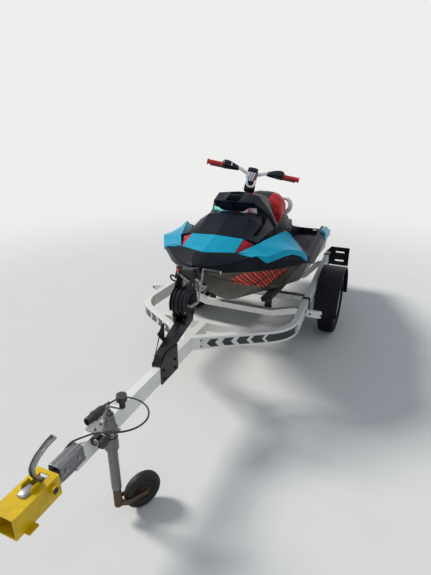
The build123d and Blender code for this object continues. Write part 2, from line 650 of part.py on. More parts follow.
with BuildPart() as jockey_fork:
    with BuildSketch(on_trail(Pos(0, 0, -FORK_BAR / 2))):
        Circle(JOCKEY_LEG_RADIUS)
    extrude(amount=socket_height + FORK_BAR / 2)
    with BuildSketch(on_trail(Pos(0, 0, -FORK_BAR / 2))):
        with BuildLine():
            Polyline((-12, 0), (12, 0), (FORK_GAP + FORK_SIDE, 32), (FORK_GAP + FORK_SIDE, JOCKEY_TRAIL + 16),
                     (-FORK_GAP - FORK_SIDE, JOCKEY_TRAIL + 16), (-FORK_GAP - FORK_SIDE, 32), close=True)
        make_face()
        with BuildLine():
            Polyline((-8, 24), (8, 24), (FORK_GAP, 34), (FORK_GAP, JOCKEY_TRAIL + 17),
                     (-FORK_GAP, JOCKEY_TRAIL + 17), (-FORK_GAP, 34), close=True)
        make_face(mode=Mode.SUBTRACT)
    extrude(amount=FORK_BAR)
    with BuildSketch(on_trail(Plane.YZ.offset(-FORK_GAP - 1).location)):
        with Locations((JOCKEY_TRAIL, 0)):
            Circle(JOCKEY_PIN_RADIUS)
    extrude(amount=2 * FORK_GAP + 2)
    with BuildSketch(on_trail(Pos(0, 0, socket_height + 1))):
        Circle(SWIVEL_RADIUS + RUN_CLEARANCE)
    extrude(amount=-SWIVEL_LENGTH - 2, mode=Mode.SUBTRACT)
save(jockey_fork.part, "jockey_fork")

with BuildPart() as jockey_wheel:
    with BuildSketch(on_trail(Plane.YZ.offset(-JOCKEY_WHEEL_WIDTH / 2).location)):
        with Locations((JOCKEY_TRAIL, 0)):
            Circle(JOCKEY_WHEEL_RADIUS)
            Circle(JOCKEY_PIN_RADIUS + RUN_CLEARANCE, mode=Mode.SUBTRACT)
    extrude(amount=JOCKEY_WHEEL_WIDTH)
save(jockey_wheel.part, "jockey_wheel")

# Winch post: a bolted foot on the drawbar, a sloping strut, and two plates that carry the winch
FOOT_FRONT_AHEAD = 1930.0
FOOT_REAR_AHEAD = 1730.0
PLATE = 5.0
CHEEK_X = 42.0
HOOP_TOP = 712.0
HOOP_BEND = 16.0
HOOP_ROD = 5.0
strut_half = DRAWBAR_WIDTH / 2
drum_y = ahead(WINCH_DRUM_AHEAD)
shaft_y = ahead(WINCH_SHAFT_AHEAD)
stop_y = ahead(STOP_AHEAD)
housing_y = (shaft_y + drum_y) / 2
HOUSING_RADIUS = 96.0
CHEEK_HEAD = (
    (stop_y + 10, STOP_Z + 20), (stop_y - 30, STOP_Z + 20),
    (housing_y - 40, WINCH_SHAFT_Z + 80), (housing_y + 60, WINCH_SHAFT_Z + 70),
)
CHEEK_ROOT = (
    (shaft_y - 40, WINCH_SHAFT_Z - 150), (drum_y + 45, WINCH_SHAFT_Z - 150),
    (drum_y + 48, WINCH_SHAFT_Z - 30), (shaft_y - 50, WINCH_SHAFT_Z - 30),
)
with BuildPart() as winch_post:
    for hand_name, hand in HANDS:
        with BuildSketch(lengthwise(hand * DRAWBAR_WIDTH / 2)):
            with BuildLine():
                Polyline(
                    (ahead(FOOT_FRONT_AHEAD), FRAME_TOP - DRAWBAR_HEIGHT - 10),
                    (ahead(FOOT_REAR_AHEAD), FRAME_TOP - DRAWBAR_HEIGHT - 10),
                    (ahead(FOOT_REAR_AHEAD), FRAME_TOP + 60),
                    (ahead(FOOT_FRONT_AHEAD - 60), FRAME_TOP + 70),
                    (ahead(FOOT_FRONT_AHEAD), FRAME_TOP + 20),
                    close=True,
                )
            make_face()
        extrude(amount=hand * PLATE)
        with BuildSketch(lengthwise(hand * CHEEK_X)):
            with Locations((housing_y, WINCH_SHAFT_Z + 6)):
                Circle(HOUSING_RADIUS)
            for outline in (CHEEK_HEAD, CHEEK_ROOT):
                with BuildLine():
                    Polyline(*outline, close=True)
                make_face()
            with Locations((shaft_y, WINCH_SHAFT_Z)):
                Circle(8 + RUN_CLEARANCE, mode=Mode.SUBTRACT)
            with Locations((drum_y, WINCH_SHAFT_Z)):
                Circle(10 + RUN_CLEARANCE, mode=Mode.SUBTRACT)
        extrude(amount=hand * PLATE)
    with BuildSketch(Plane.YZ):
        with BuildLine():
            Polyline(
                (ahead(FOOT_FRONT_AHEAD - 5), FRAME_TOP + 8),
                (ahead(FOOT_FRONT_AHEAD - 24), FRAME_TOP + 66),
                (shaft_y - 45, 690),
                (drum_y + 45, 690),
                (drum_y + 45, 650),
                close=True,
            )
        make_face()
    extrude(amount=strut_half, both=True)
    with BuildSketch(Plane.YZ):
        with Locations((shaft_y + 30, 668)):
            Rectangle(80, 20)
    extrude(amount=CHEEK_X, both=True)
    with BuildLine() as hoop_run:
        FilletPolyline(
            (-strut_half - 3, ahead(FOOT_FRONT_AHEAD - 20), FRAME_TOP + 14),
            (-strut_half - 24, ahead(FOOT_FRONT_AHEAD - 84), HOOP_TOP),
            (-strut_half + 3, ahead(FOOT_FRONT_AHEAD - 145), FRAME_TOP + 78), radius=HOOP_BEND,
        )
    with BuildSketch(Plane(origin=hoop_run.line @ 0, z_dir=hoop_run.line % 0)):
        Circle(HOOP_ROD)
    sweep()
    for hand_name, hand in HANDS:
        with BuildSketch(lengthwise(hand * (DRAWBAR_WIDTH / 2 + PLATE))):
            for bolt_ahead in (FOOT_FRONT_AHEAD - 34, FOOT_REAR_AHEAD + 30):
                with Locations((ahead(bolt_ahead), FRAME_TOP - 30), (ahead(bolt_ahead), FRAME_TOP - 88)):
                    RegularPolygon(9, 6)
        extrude(amount=hand * 7)
save(winch_post.part, "winch_post")

with BuildPart() as bow_stop:
    with BuildSketch(flat(STOP_Z - 35)):
        with BuildLine():
            Polyline(
                (-CHEEK_X, stop_y - 22), (CHEEK_X, stop_y - 22), (CHEEK_X, stop_y + 20), (60, stop_y + 20),
                (60, stop_y + 42), (0, stop_y + 22), (-60, stop_y + 42), (-60, stop_y + 20),
                (-CHEEK_X, stop_y + 20), close=True,
            )
        make_face()
    extrude(amount=70)
save(bow_stop.part, "bow_stop")

# Winch: a drum with its strap, geared to the shaft of a crank on the port side
FLANGE_RADIUS = 60.0
DRUM_RADIUS = 22.0
WRAP_RADIUS = 45.0
DRUM_STARBOARD = -36.0
DRUM_PORT = 36.0
STRAP_WIDTH = 50.0
STRAP_THICKNESS = 3.0
with BuildPart() as winch_drum:
    with BuildSketch(lengthwise(-CHEEK_X - PLATE - 8)):
        with Locations((drum_y, WINCH_SHAFT_Z)):
            Circle(10)
    extrude(amount=2 * (CHEEK_X + PLATE + 8))
    with BuildSketch(lengthwise(DRUM_STARBOARD)):
        with Locations((drum_y, WINCH_SHAFT_Z)):
            Circle(DRUM_RADIUS)
    extrude(amount=DRUM_PORT - DRUM_STARBOARD)
    for flange_x, turn in ((DRUM_STARBOARD, 1), (DRUM_PORT, -1)):
        with BuildSketch(lengthwise(flange_x)):
            with Locations((drum_y, WINCH_SHAFT_Z)):
                Circle(FLANGE_RADIUS)
        extrude(amount=turn * 4)
save(winch_drum.part, "winch_drum")

wrap_half = STRAP_WIDTH / 2
with BuildPart() as strap_coil:
    with BuildSketch(lengthwise(-wrap_half)):
        with Locations((drum_y, WINCH_SHAFT_Z)):
            Circle(WRAP_RADIUS)
            Circle(DRUM_RADIUS + SEAT_GAP, mode=Mode.SUBTRACT)
    extrude(amount=STRAP_WIDTH)
save(strap_coil.part, "strap_coil")

CRANK_BEND_Y = 88.0
CRANK_BEND_Z = -8.0
CRANK_TIP_Y = 172.0
CRANK_TIP_Z = 176.0
CRANK_X = 72.0
GRIP_LENGTH = 110.0
crank_tip_y = shaft_y + CRANK_TIP_Y
crank_tip_z = WINCH_SHAFT_Z + CRANK_TIP_Z
with BuildPart() as winch_crank:
    with BuildSketch(lengthwise(-CHEEK_X - PLATE - 6)):
        with Locations((shaft_y, WINCH_SHAFT_Z)):
            Circle(8)
    extrude(amount=CRANK_X + CHEEK_X + PLATE + 6 + 6)
    with BuildSketch(lengthwise(CRANK_X)):
        for start_y, start_z, end_y, end_z in (
            (0, 0, CRANK_BEND_Y, CRANK_BEND_Z), (CRANK_BEND_Y, CRANK_BEND_Z, CRANK_TIP_Y, CRANK_TIP_Z),
        ):
            with Locations((shaft_y + (start_y + end_y) / 2, WINCH_SHAFT_Z + (start_z + end_z) / 2)):
                run = hypot(end_y - start_y, end_z - start_z)
                SlotCenterToCenter(run, 20, rotation=degrees(atan2(end_z - start_z, end_y - start_y)))
    extrude(amount=6)
    with BuildSketch(lengthwise(CRANK_X)):
        with Locations((crank_tip_y, crank_tip_z)):
            Circle(6)
    extrude(amount=GRIP_LENGTH + 14)
save(winch_crank.part, "winch_crank")
with BuildPart() as crank_grip:
    with BuildSketch(lengthwise(CRANK_X + 9)):
        with Locations((crank_tip_y, crank_tip_z)):
            Circle(13)
            Circle(6 + SEAT_GAP, mode=Mode.SUBTRACT)
    extrude(amount=GRIP_LENGTH)
save(crank_grip.part, "crank_grip")

# Bunks: carpeted boards under the hull's flat bottom panels, square to the panels
BUNK_X = 250.0
BUNK_WIDTH = 90.0
BUNK_THICKNESS = 42.0
BUNK_FRONT = 800.0
BUNK_LENGTH = 1450.0


def bunk_plane(hand, depth):
    """Plane square to a bottom panel of the hull, that far below it, over a bunk's middle."""
    middle = (hand * BUNK_X, BUNK_FRONT + BUNK_LENGTH / 2, BUNK_X * tan(radians(DEADRISE)))
    return on_craft(Location(middle, (0, -hand * DEADRISE, 0)) * Pos(0, 0, -depth))


with BuildPart() as bunks:
    for hand_name, hand in HANDS:
        with BuildSketch(bunk_plane(hand, SEAT_GAP)):
            RectangleRounded(BUNK_WIDTH, BUNK_LENGTH, 10)
        extrude(amount=-BUNK_THICKNESS)
save(bunks.part, "bunks")

# Bunk posts: an upright plate from each dipped cross-member to the underside of the bunk
POST_WIDTH = 60.0
POST_THICKNESS = 8.0
BAND = 5.0
BAND_WIDTH = 34.0
BAND_CLEARANCE = 2.2
with BuildPart() as bunk_posts:
    for hand_name, hand in HANDS:
        saddle = bunk_plane(hand, SEAT_GAP + BUNK_THICKNESS)
        for member_name, member_y, dip_z in DIPPED:
            post_y = member_y + DIP_TUBE / 2
            inner_x = hand * (BUNK_X - POST_WIDTH / 2)
            outer_x = hand * (BUNK_X + POST_WIDTH / 2)
            with BuildSketch(across(post_y)):
                with BuildLine():
                    Polyline(
                        (inner_x, dip_z), (inner_x, under(saddle, inner_x, post_y + POST_THICKNESS)),
                        (outer_x, under(saddle, outer_x, post_y + POST_THICKNESS)), (outer_x, dip_z),
                        close=True,
                    )
                make_face()
            extrude(amount=-POST_THICKNESS)
            # a band holds the member's end to the rail above it
            band_in = rail_x(member_y - BAND_WIDTH / 2) - RAIL_WIDTH / 2 - BAND_CLEARANCE
            band_out = rail_x(member_y - BAND_WIDTH / 2) + RAIL_WIDTH / 2 + BAND_CLEARANCE
            band_inner_z = FRAME_BOTTOM + SEAT_GAP
            band_top_z = FRAME_TOP + SEAT_GAP
            with BuildSketch(across(member_y + BAND_WIDTH / 2)):
                with BuildLine():
                    Polyline(
                        (hand * (band_in - BAND), band_inner_z), (hand * (band_in - BAND), band_top_z + BAND),
                        (hand * (band_out + BAND), band_top_z + BAND),
                        (hand * (band_out + BAND), FRAME_BOTTOM - DIP_TUBE),
                        (hand * band_out, FRAME_BOTTOM - DIP_TUBE), (hand * band_out, band_top_z),
                        (hand * band_in, band_top_z), (hand * band_in, band_inner_z), close=True,
                    )
                make_face()
            extrude(amount=BAND_WIDTH)
save(bunk_posts.part, "bunk_posts")


# Plan of the craft and the flat joint between its hull and deck
def gunwale_x(y):
    """Half breadth: a full bow curve out to the widest place, then an easy taper to the stern."""
    if y < WIDEST:
        return HALF_BEAM * (1 - (1 - y / WIDEST) ** 2) ** 0.75
    return HALF_BEAM - (HALF_BEAM - STERN_HALF) * ((y - WIDEST) / (HULL_LENGTH - WIDEST)) ** 1.6


def bond_z(y):
    return BOND_BOW_Z + (BOND_STERN_Z - BOND_BOW_Z) * y / HULL_LENGTH


# y behind the bow, how far the joint is tucked inside the gunwale
TUCKS = ((0.0, 8.0), (40.0, 24.0), (130.0, 34.0), (310.0, 48.0), (700.0, 52.0), (900.0, 40.0), (1220.0, 60.0),
         (1800.0, 50.0), (HULL_LENGTH, 22.0))


def between(rows, y):
    """Value at y between the rows of a two-column table."""
    for (y0, v0), (y1, v1) in zip(rows, rows[1:]):
        if y <= y1:
            return v0 + (v1 - v0) * (y - y0) / (y1 - y0)
    return rows[-1][1]


def bond_x(y):
    return gunwale_x(y) - between(TUCKS, y)


def half_outline(points):
    """Closed outline from a half, given from the bottom middle to the top middle."""
    return [*points, *[(-x, z) for x, z in reversed(points) if x > 0]]


def panel(plane, outline):
    """Flat face of an outline on a plane."""
    corners = [plane.from_local_coords((u, v, 0)) for u, v in outline]
    return Face(Wire.make_polygon(corners, close=True))


def loft_stations(rows):
    """Ruled loft through upright sections: rows of y behind the bow and an outline."""
    loft([panel(station(y), outline) for y, outline in rows], ruled=True)


def loft_sides(rows):
    """Ruled loft from the middle out to port, mirrored: rows of x and an outline as (y, z)."""
    loft([panel(side(x), outline) for x, outline in rows], ruled=True)
    mirror(about=Plane.YZ)


# Hull: a vee bottom that is the same from the bunks aft, and rises to the stem
CHINE_Z = CHINE_HALF * tan(radians(DEADRISE))
CHINE_STERN = 385.0
# y behind the bow, keel height, chine half-beam and height
HULL_ROWS = (
    (20.0, 430.0, 8.0, 434.0),
    (60.0, 405.0, 36.0, 428.0),
    (130.0, 340.0, 86.0, 398.0),
    (230.0, 268.0, 150.0, 356.0),
    (430.0, 160.0, 262.0, 290.0),
    (600.0, 84.0, 335.0, 248.0),
    (760.0, 38.0, 390.0, 214.0),
    (1150.0, 0.0, CHINE_HALF, CHINE_Z),
    (HULL_LENGTH, 0.0, CHINE_STERN, CHINE_STERN * tan(radians(DEADRISE))),
)
CHINE_FLAT = 12.0
CHINE_STEP = 14.0
PUMP_Z = 130.0
TUNNEL_RADIUS = 80.0
TUNNEL_LENGTH = 290.0
TUNNEL_FRONT = HULL_LENGTH - TUNNEL_LENGTH
INTAKE_HALF = 72.0
INTAKE_OUTLINE = (
    (TUNNEL_FRONT - 400, -5), (TUNNEL_FRONT + 5, 205), (TUNNEL_FRONT + 15, 205),
    (TUNNEL_FRONT + 15, 55), (TUNNEL_FRONT - 40, -5),
)
BAY_FRONT = 1120.0
BAY_LENGTH = 620.0
BAY_HALF = 145.0
BAY_BOTTOM = 95.0
with BuildPart() as hull:
    loft_stations([
        (y, half_outline([(0, keel_z), (chine_x, chine_z), (chine_x + CHINE_FLAT, chine_z + CHINE_STEP),
                          (bond_x(y), bond_z(y)), (0, bond_z(y))]))
        for y, keel_z, chine_x, chine_z in HULL_ROWS
    ])
    with BuildSketch(level(BAY_BOTTOM)):
        with Locations((0, BAY_FRONT + BAY_LENGTH / 2)):
            Rectangle(2 * BAY_HALF, BAY_LENGTH)
    extrude(amount=400, mode=Mode.SUBTRACT)
    with BuildSketch(station(HULL_LENGTH + 1)):
        with Locations((0, PUMP_Z)):
            Circle(TUNNEL_RADIUS)
    extrude(amount=TUNNEL_LENGTH + 1, mode=Mode.SUBTRACT)
    with BuildSketch(side(0)):
        with BuildLine():
            Polyline(*INTAKE_OUTLINE, close=True)
        make_face()
    extrude(amount=INTAKE_HALF, both=True, mode=Mode.SUBTRACT)
save(hull.part, "hull")

# Deck: bumper, gunwales, footwells, the console under the cowl and the pedestal under the seat
# y behind the bow, edge height, shoulder inset and height, inset and height of the top flat
DECK_ROWS = (
    (6.0, 491.0, 2.0, 497.0, 10.0, 500.0),
    (40.0, 495.0, 3.0, 502.0, 60.0, 518.0),
    (87.0, 501.0, 4.0, 509.0, 120.0, 545.0),
    (121.0, 508.0, 4.0, 517.0, 165.0, 562.0),
    (160.0, 521.0, 4.0, 530.0, 160.0, 562.0),
    (200.0, 534.0, 4.0, 542.0, 122.0, 562.0),
    (244.0, 542.0, 4.0, 550.0, 40.0, 562.0),
    (330.0, 500.0, 10.0, 530.0, 60.0, 560.0),
    (450.0, 500.0, 10.0, 545.0, 70.0, 562.0),
    (600.0, 480.0, 12.0, 512.0, 130.0, 562.0),
    (706.0, 445.0, 12.0, 470.0, 160.0, 562.0),
    (800.0, 408.0, 8.0, 470.0, 40.0, 482.0),
    (900.0, 382.0, 8.0, 474.0, 50.0, 488.0),
    (1220.0, 436.0, 12.0, 508.0, 55.0, 520.0),
    (1500.0, 452.0, 14.0, 530.0, 55.0, 544.0),
    (1800.0, 440.0, 14.0, 520.0, 58.0, 534.0),
    (2150.0, 380.0, 12.0, 436.0, 60.0, 448.0),
    (HULL_LENGTH, 312.0, 8.0, 350.0, 50.0, 360.0),
)
FIN_FRONT = 240.0
FIN_REAR = 706.0
FIN_SHELL = 8.0


def deck_rows(growth):
    """Sections of the deck's blank, grown outwards, and narrower where the fins wrap over it."""
    rows = []
    for y, edge_z, shoulder_in, shoulder_z, top_in, top_z in DECK_ROWS:
        half = gunwale_x(y) - (FIN_SHELL if FIN_FRONT < y <= FIN_REAR else 0) + growth
        rows.append((y, half_outline([
            (0, bond_z(y)), (bond_x(y) + growth, bond_z(y)), (half, edge_z),
            (half - shoulder_in, shoulder_z + growth), (max(half - top_in, 1), top_z + growth), (0, top_z + growth),
        ])))
    return rows


WELL_FRONT = 806.0
WELL_REAR = HULL_LENGTH - 140.0
WELL_INNER = 130.0
# distance to port and behind the bow, outboard side of a footwell from front to back
WELL_SIDE = ((430.0, WELL_FRONT), (528.0, 905.0), (518.0, 1220.0), (498.0, 1500.0), (464.0, 1800.0),
             (424.0, 2150.0), (380.0, WELL_REAR))
# y behind the bow, half-width of the console under the cowl
CONSOLE_ROWS = ((790.0, 300.0), (1180.0, 296.0), (1300.0, 200.0))
CONSOLE_TOP = 562.0
PEDESTAL_HALF = 160.0
# y behind the bow, half-width and height of the pedestal's top
PEDESTAL_ROWS = (
    (1293.0, PEDESTAL_HALF, 640.0), (1600.0, PEDESTAL_HALF - 2, 632.0), (1720.0, PEDESTAL_HALF - 14, 588.0),
    (2120.0, PEDESTAL_HALF - 60, 520.0), (2240.0, PEDESTAL_HALF - 76, 440.0),
)
PEDESTAL_FLARE = 14.0
FLARE_FRONT = 1600.0


def pedestal_top(y):
    return between([(row_y, top) for row_y, half, top in PEDESTAL_ROWS], y)


def pedestal_foot(y, half):
    """Half-width of the pedestal where it stands on the floor."""
    return half + (PEDESTAL_FLARE if y > FLARE_FRONT else 0)


BAY_LID_OUTLINE = ((1130, 290), (1130, 440), (1730, 440), (1730, 290))
# mouldings that stand behind the fins: y behind the bow, outline as (distance to port, height)
FIN_REAR_X = gunwale_x(FIN_REAR)
BACKINGS = (
    (FIN_REAR + 3, ((340, 560), (352, 620), (424, 636), (FIN_REAR_X - 6, 476), (FIN_REAR_X - 40, 440))),
    (792.0, ((346, 480), (352, 560), (420, 600), (574, 472), (540, 420))),
)
with BuildPart() as deck:
    loft_stations(deck_rows(0))
    floor_plane = Plane(
        origin=craft.from_local_coords((0, 0, BOND_BOW_Z + FLOOR_SKIN)),
        x_dir=(1, 0, 0),
        z_dir=craft.from_local_coords((0, BOND_BOW_Z - BOND_STERN_Z, HULL_LENGTH))
        - craft.from_local_coords((0, 0, 0)),
    )
    with BuildSketch(floor_plane):
        with BuildLine():
            Polyline((WELL_INNER, WELL_FRONT), *WELL_SIDE, (WELL_INNER, WELL_REAR), close=True)
        make_face()
        mirror(about=Plane.YZ)
    extrude(amount=250, mode=Mode.SUBTRACT)
    loft_stations([
        (y, half_outline([(0, bond_z(y)), (half, bond_z(y)), (half, CONSOLE_TOP), (0, CONSOLE_TOP)]))
        for y, half in CONSOLE_ROWS
    ])
    loft_stations([
        (y, half_outline([(0, bond_z(y)), (pedestal_foot(y, half), bond_z(y)), (half, top), (0, top)]))
        for y, half, top in PEDESTAL_ROWS
    ])
    for hand_name, hand in HANDS:
        for y, outline in BACKINGS:
            with BuildSketch(station(y)):
                with BuildLine():
                    Polyline(*[(hand * x, z) for x, z in outline], close=True)
                make_face()
        loft(ruled=True)
    with BuildSketch(side(0)):
        with BuildLine():
            Polyline(*BAY_LID_OUTLINE, close=True)
        make_face()
    extrude(amount=BAY_HALF, both=True, mode=Mode.SUBTRACT)
save(deck.part, "deck")

# Facetted mouldings on the bow: each is a ruled loft through upright sections, then mirrored
SHELF = 563.0
NOSE_HALF = 193.0
# distance to port, outline of the section as (y behind the bow, height)
NOSE_SECTIONS = (
    (0.0, ((126, SHELF), (337, 642), (337, SHELF))),
    (NOSE_HALF, ((212, SHELF), (366, 628), (366, SHELF))),
)
INSERT_SECTIONS = (
    (NOSE_HALF + 2, ((216, SHELF), (366, 624), (366, SHELF))),
    (262.0, ((345, SHELF), (372, 598), (374, SHELF))),
)
HOOD_SECTIONS = (
    (0.0, ((341, SHELF), (341, 643), (576, 758), (640, 766), (640, SHELF))),
    (160.0, ((370, SHELF), (370, 633), (566, 745), (684, 762), (684, SHELF))),
    (240.0, ((379, SHELF), (379, 622), (600, 694), (792, 716), (792, SHELF))),
    (288.0, ((392, SHELF), (392, 610), (640, 640), (792, 648), (792, SHELF))),
)
VENT_FLOOR_X = 205.0
VENT_OUTLINE = ((430, 640), (470, 636), (740, 712), (752, 742), (700, 724))
with BuildPart() as nose_panel:
    loft_sides(NOSE_SECTIONS)
save(nose_panel.part, "nose_panel")

with BuildPart() as nose_inserts:
    loft_sides(INSERT_SECTIONS)
save(nose_inserts.part, "nose_inserts")

with BuildPart() as hood:
    loft_sides(HOOD_SECTIONS)
    for hand_name, hand in HANDS:
        with BuildSketch(side(hand * VENT_FLOOR_X)):
            with BuildLine():
                Polyline(*VENT_OUTLINE, close=True)
            make_face()
        extrude(amount=hand * 100, mode=Mode.SUBTRACT)
save(hood.part, "hood")

# Cowl: a shield in front of the bars with a dash pocket behind its lip, and the glovebox aft
COWL_SECTIONS = (
    (0.0, ((651, 563), (651, 776), (587, 846), (737, 905), (930, 886), (1200, 800), (1290, 700), (1290, 563))),
    (157.0, ((700, 563), (700, 776), (652, 838), (747, 886), (930, 866), (1180, 785), (1290, 680), (1290, 563))),
    (240.0, ((800, 563), (800, 724), (812, 742), (840, 752), (930, 752), (1120, 705), (1290, 610), (1290, 563))),
    (292.0, ((800, 563), (800, 650), (812, 664), (840, 672), (930, 668), (1120, 636), (1286, 580), (1286, 563))),
)
DASH_POCKET = ((560, 856), (640, 838), (742, 838), (758, 930), (560, 930))
DASH_HALF = 88.0
# height, y behind the bow, width, depth and corner radius
DISPLAY_ROWS = ((837.0, 696.0, 120.0, 50.0, 12.0), (884.0, 688.0, 96.0, 36.0, 10.0))
LINER_SECTIONS = (
    (0.0, ((642, 767), (650.6, 775), (650.6, 764))),
    (150.0, ((686, 764), (697.4, 775), (697.4, 762))),
)

# Steering axis: it leans aft, and the bar is parked turned to port
STEER_Y = 1060.0
STEER_Z = 1044.0
STEER_LEAN = 26.0
STEER_TURN = 22.0
STEER_SHAFT_RADIUS = 15.0
COLUMN_BOTTOM = 150.0
SHAFT_BOTTOM = 260.0


def on_bar(place):
    """Plane at a place on the steering: z up the column's axis, x along the bar to port."""
    return on_craft(Location((0, STEER_Y, STEER_Z), (-STEER_LEAN, 0, 0)) * Rot(0, 0, STEER_TURN) * place)


LID_OUTLINE = ((1110, 818), (1196, 793), (1246, 742), (1238, 731), (1190, 781), (1106, 806))
LID_RECESS = ((1096, 900), (1275, 800), (1238, 680), (1090, 730))
LID_PIVOT = (1114.0, 809.0)
LID_PIN_RADIUS = 3.0
LID_PIN_REACH = 12.0
LID_HALF = 75.0
with BuildPart() as cowl:
    loft_sides(COWL_SECTIONS)
    with BuildSketch(on_bar(Pos(0, 0, -SHAFT_BOTTOM - 10))):
        Circle(STEER_SHAFT_RADIUS + RUN_CLEARANCE)
    extrude(amount=200, mode=Mode.SUBTRACT)
    with BuildSketch(side(0)):
        with BuildLine():
            Polyline(*DASH_POCKET, close=True)
        make_face()
    extrude(amount=DASH_HALF, both=True, mode=Mode.SUBTRACT)
    # a small display stands in the pocket and faces the rider
    for display_z, display_y, width, depth, corner in DISPLAY_ROWS:
        with BuildSketch(level(display_z)):
            with Locations((0, display_y)):
                RectangleRounded(width, depth, corner)
    loft(ruled=True)
    with BuildSketch(side(0)):
        with BuildLine():
            Polyline(*LID_RECESS, close=True)
        make_face()
    extrude(amount=LID_HALF + 6, both=True, mode=Mode.SUBTRACT)
    with BuildSketch(side(0)):
        with Locations(LID_PIVOT):
            Circle(LID_PIN_RADIUS + RUN_CLEARANCE)
    extrude(amount=LID_HALF + LID_PIN_REACH + 1, both=True, mode=Mode.SUBTRACT)
save(cowl.part, "cowl")

with BuildPart() as liner:
    loft_sides(LINER_SECTIONS)
save(liner.part, "liner")

with BuildPart() as glovebox_lid:
    with BuildSketch(side(0)):
        with BuildLine():
            Polyline(*LID_OUTLINE, close=True)
        make_face()
    extrude(amount=LID_HALF, both=True)
    with BuildSketch(side(0)):
        with Locations(LID_PIVOT):
            Circle(LID_PIN_RADIUS)
    extrude(amount=LID_HALF + LID_PIN_REACH, both=True)
save(glovebox_lid.part, "glovebox_lid")

# Fins: a ridged moulding over each shoulder of the bow, hollowed to the deck's own form
# y behind the bow, valley, ridge, crease and lower edge as (distance to port, height)
FIN_ROWS = (
    (212.0, (199, 556), (203, 561), (310, 551), (311, 548)),
    (244.0, (214, 562), (222, 567), (339, 558), (340, 553)),
    (310.0, (247, 566), (253, 583), (391, 543), (393, 499)),
    (392.0, (291, 572), (297, 604), (441, 560), (443, 514)),
    (440.0, (297, 580), (308, 612), (468, 572), (470, 526)),
    (510.0, (299, 590), (334, 626), (507, 563), (508, 530)),
    (620.0, (306, 598), (374, 644), (549, 534), (550, 496)),
    (686.0, (330, 600), (398, 653), (567, 495), (568, 456)),
    (FIN_REAR, (350, 590), (424, 640), (571, 480), (572, 448)),
)
FIN_FLANGE = 40.0
with BuildPart() as deck_blank:
    loft_stations(deck_rows(SEAT_GAP))
with BuildPart() as side_fins:
    loft_stations([
        (y, (valley, ridge, crease, low, (low[0] - FIN_FLANGE, low[1]), (valley[0], 520)))
        for y, valley, ridge, crease, low in FIN_ROWS
    ])
    mirror(about=Plane.YZ)
    add(deck_blank.part, mode=Mode.SUBTRACT)
save(side_fins.part, "side_fins")

# Rear corners: a tapering teal moulding over each gunwale aft of the footwell's middle
# y behind the bow, top, crease and lower edge as (distance to port inside the gunwale line, height)
CORNER_ROWS = (
    (1450.0, (22, 556), (-4, 522), (-2, 470)),
    (1700.0, (22, 550), (-4, 504), (-2, 446)),
    (2000.0, (22, 494), (-4, 456), (-2, 406)),
    (2330.0, (18, 424), (-4, 396), (-2, 362)),
    (2560.0, (12, 384), (-3, 370), (-2, 340)),
)
with BuildPart() as rear_corners:
    rows = []
    for y, top, crease, low in CORNER_ROWS:
        half = gunwale_x(y)
        rows.append((y, [(half - inset, z) for inset, z in (top, crease, low)]
                     + [(half - FIN_FLANGE, low[1]), (half - FIN_FLANGE, top[1] - 14)]))
    loft_stations(rows)
    mirror(about=Plane.YZ)
    add(deck_blank.part, mode=Mode.SUBTRACT)
save(rear_corners.part, "rear_corners")

# Bow eye: a bent rod on a plate at the stem, where the winch strap hooks in
EYE_Y = 150.0
EYE_REACH = 34.0
EYE_HALF = 15.0
EYE_ROD = 5.0
keel_line = [(y, keel_z) for y, keel_z, chine_x, chine_z in HULL_ROWS]
stem_z = between(keel_line, EYE_Y)
stem_slope = degrees(atan2(stem_z - between(keel_line, EYE_Y + 10), 10))
eye_place = Location((0, EYE_Y, stem_z), (180 - stem_slope, 0, 0))
with BuildPart() as bow_eye:
    with BuildSketch(on_craft(eye_place * Pos(0, 0, SEAT_GAP))):
        RectangleRounded(2 * EYE_HALF + 26, 24, 8)
    extrude(amount=4)
    with BuildLine(on_craft(eye_place * Plane.XZ.location)) as eye_run:
        FilletPolyline(
            (-EYE_HALF, 2), (-EYE_HALF, EYE_REACH), (EYE_HALF, EYE_REACH), (EYE_HALF, 2), radius=EYE_HALF - 1
        )
    with BuildSketch(Plane(origin=eye_run.line @ 0, z_dir=eye_run.line % 0)):
        Circle(EYE_ROD)
    sweep()
save(bow_eye.part, "bow_eye")

# Winch strap: flat webbing from the coil up over the stop's rear edge, then down to the bow eye
eye_tip = on_craft(eye_place * Pos(0, 0, EYE_REACH)).origin
coil_rear_y = drum_y + WRAP_RADIUS + STRAP_THICKNESS / 2 + SEAT_GAP
STRAP_TOP_Z = 925.0
STRAP_BEND = 22.0
hook_y = eye_tip.Y - EYE_ROD - STRAP_THICKNESS
with BuildPart() as winch_strap:
    with BuildLine(lengthwise(0)) as strap_run:
        FilletPolyline(
            (coil_rear_y, WINCH_SHAFT_Z), (coil_rear_y, STRAP_TOP_Z), (hook_y, eye_tip.Z + 14), radius=STRAP_BEND
        )
    with BuildSketch(Plane(origin=strap_run.line @ 0, x_dir=(1, 0, 0), z_dir=strap_run.line % 0)):
        Rectangle(STRAP_WIDTH, STRAP_THICKNESS)
    sweep()
save(winch_strap.part, "winch_strap")

# Lighting cable: a loose loop from a hole in the drawbar's side round the jockey tube to its plug
CABLE_RADIUS = 4.5
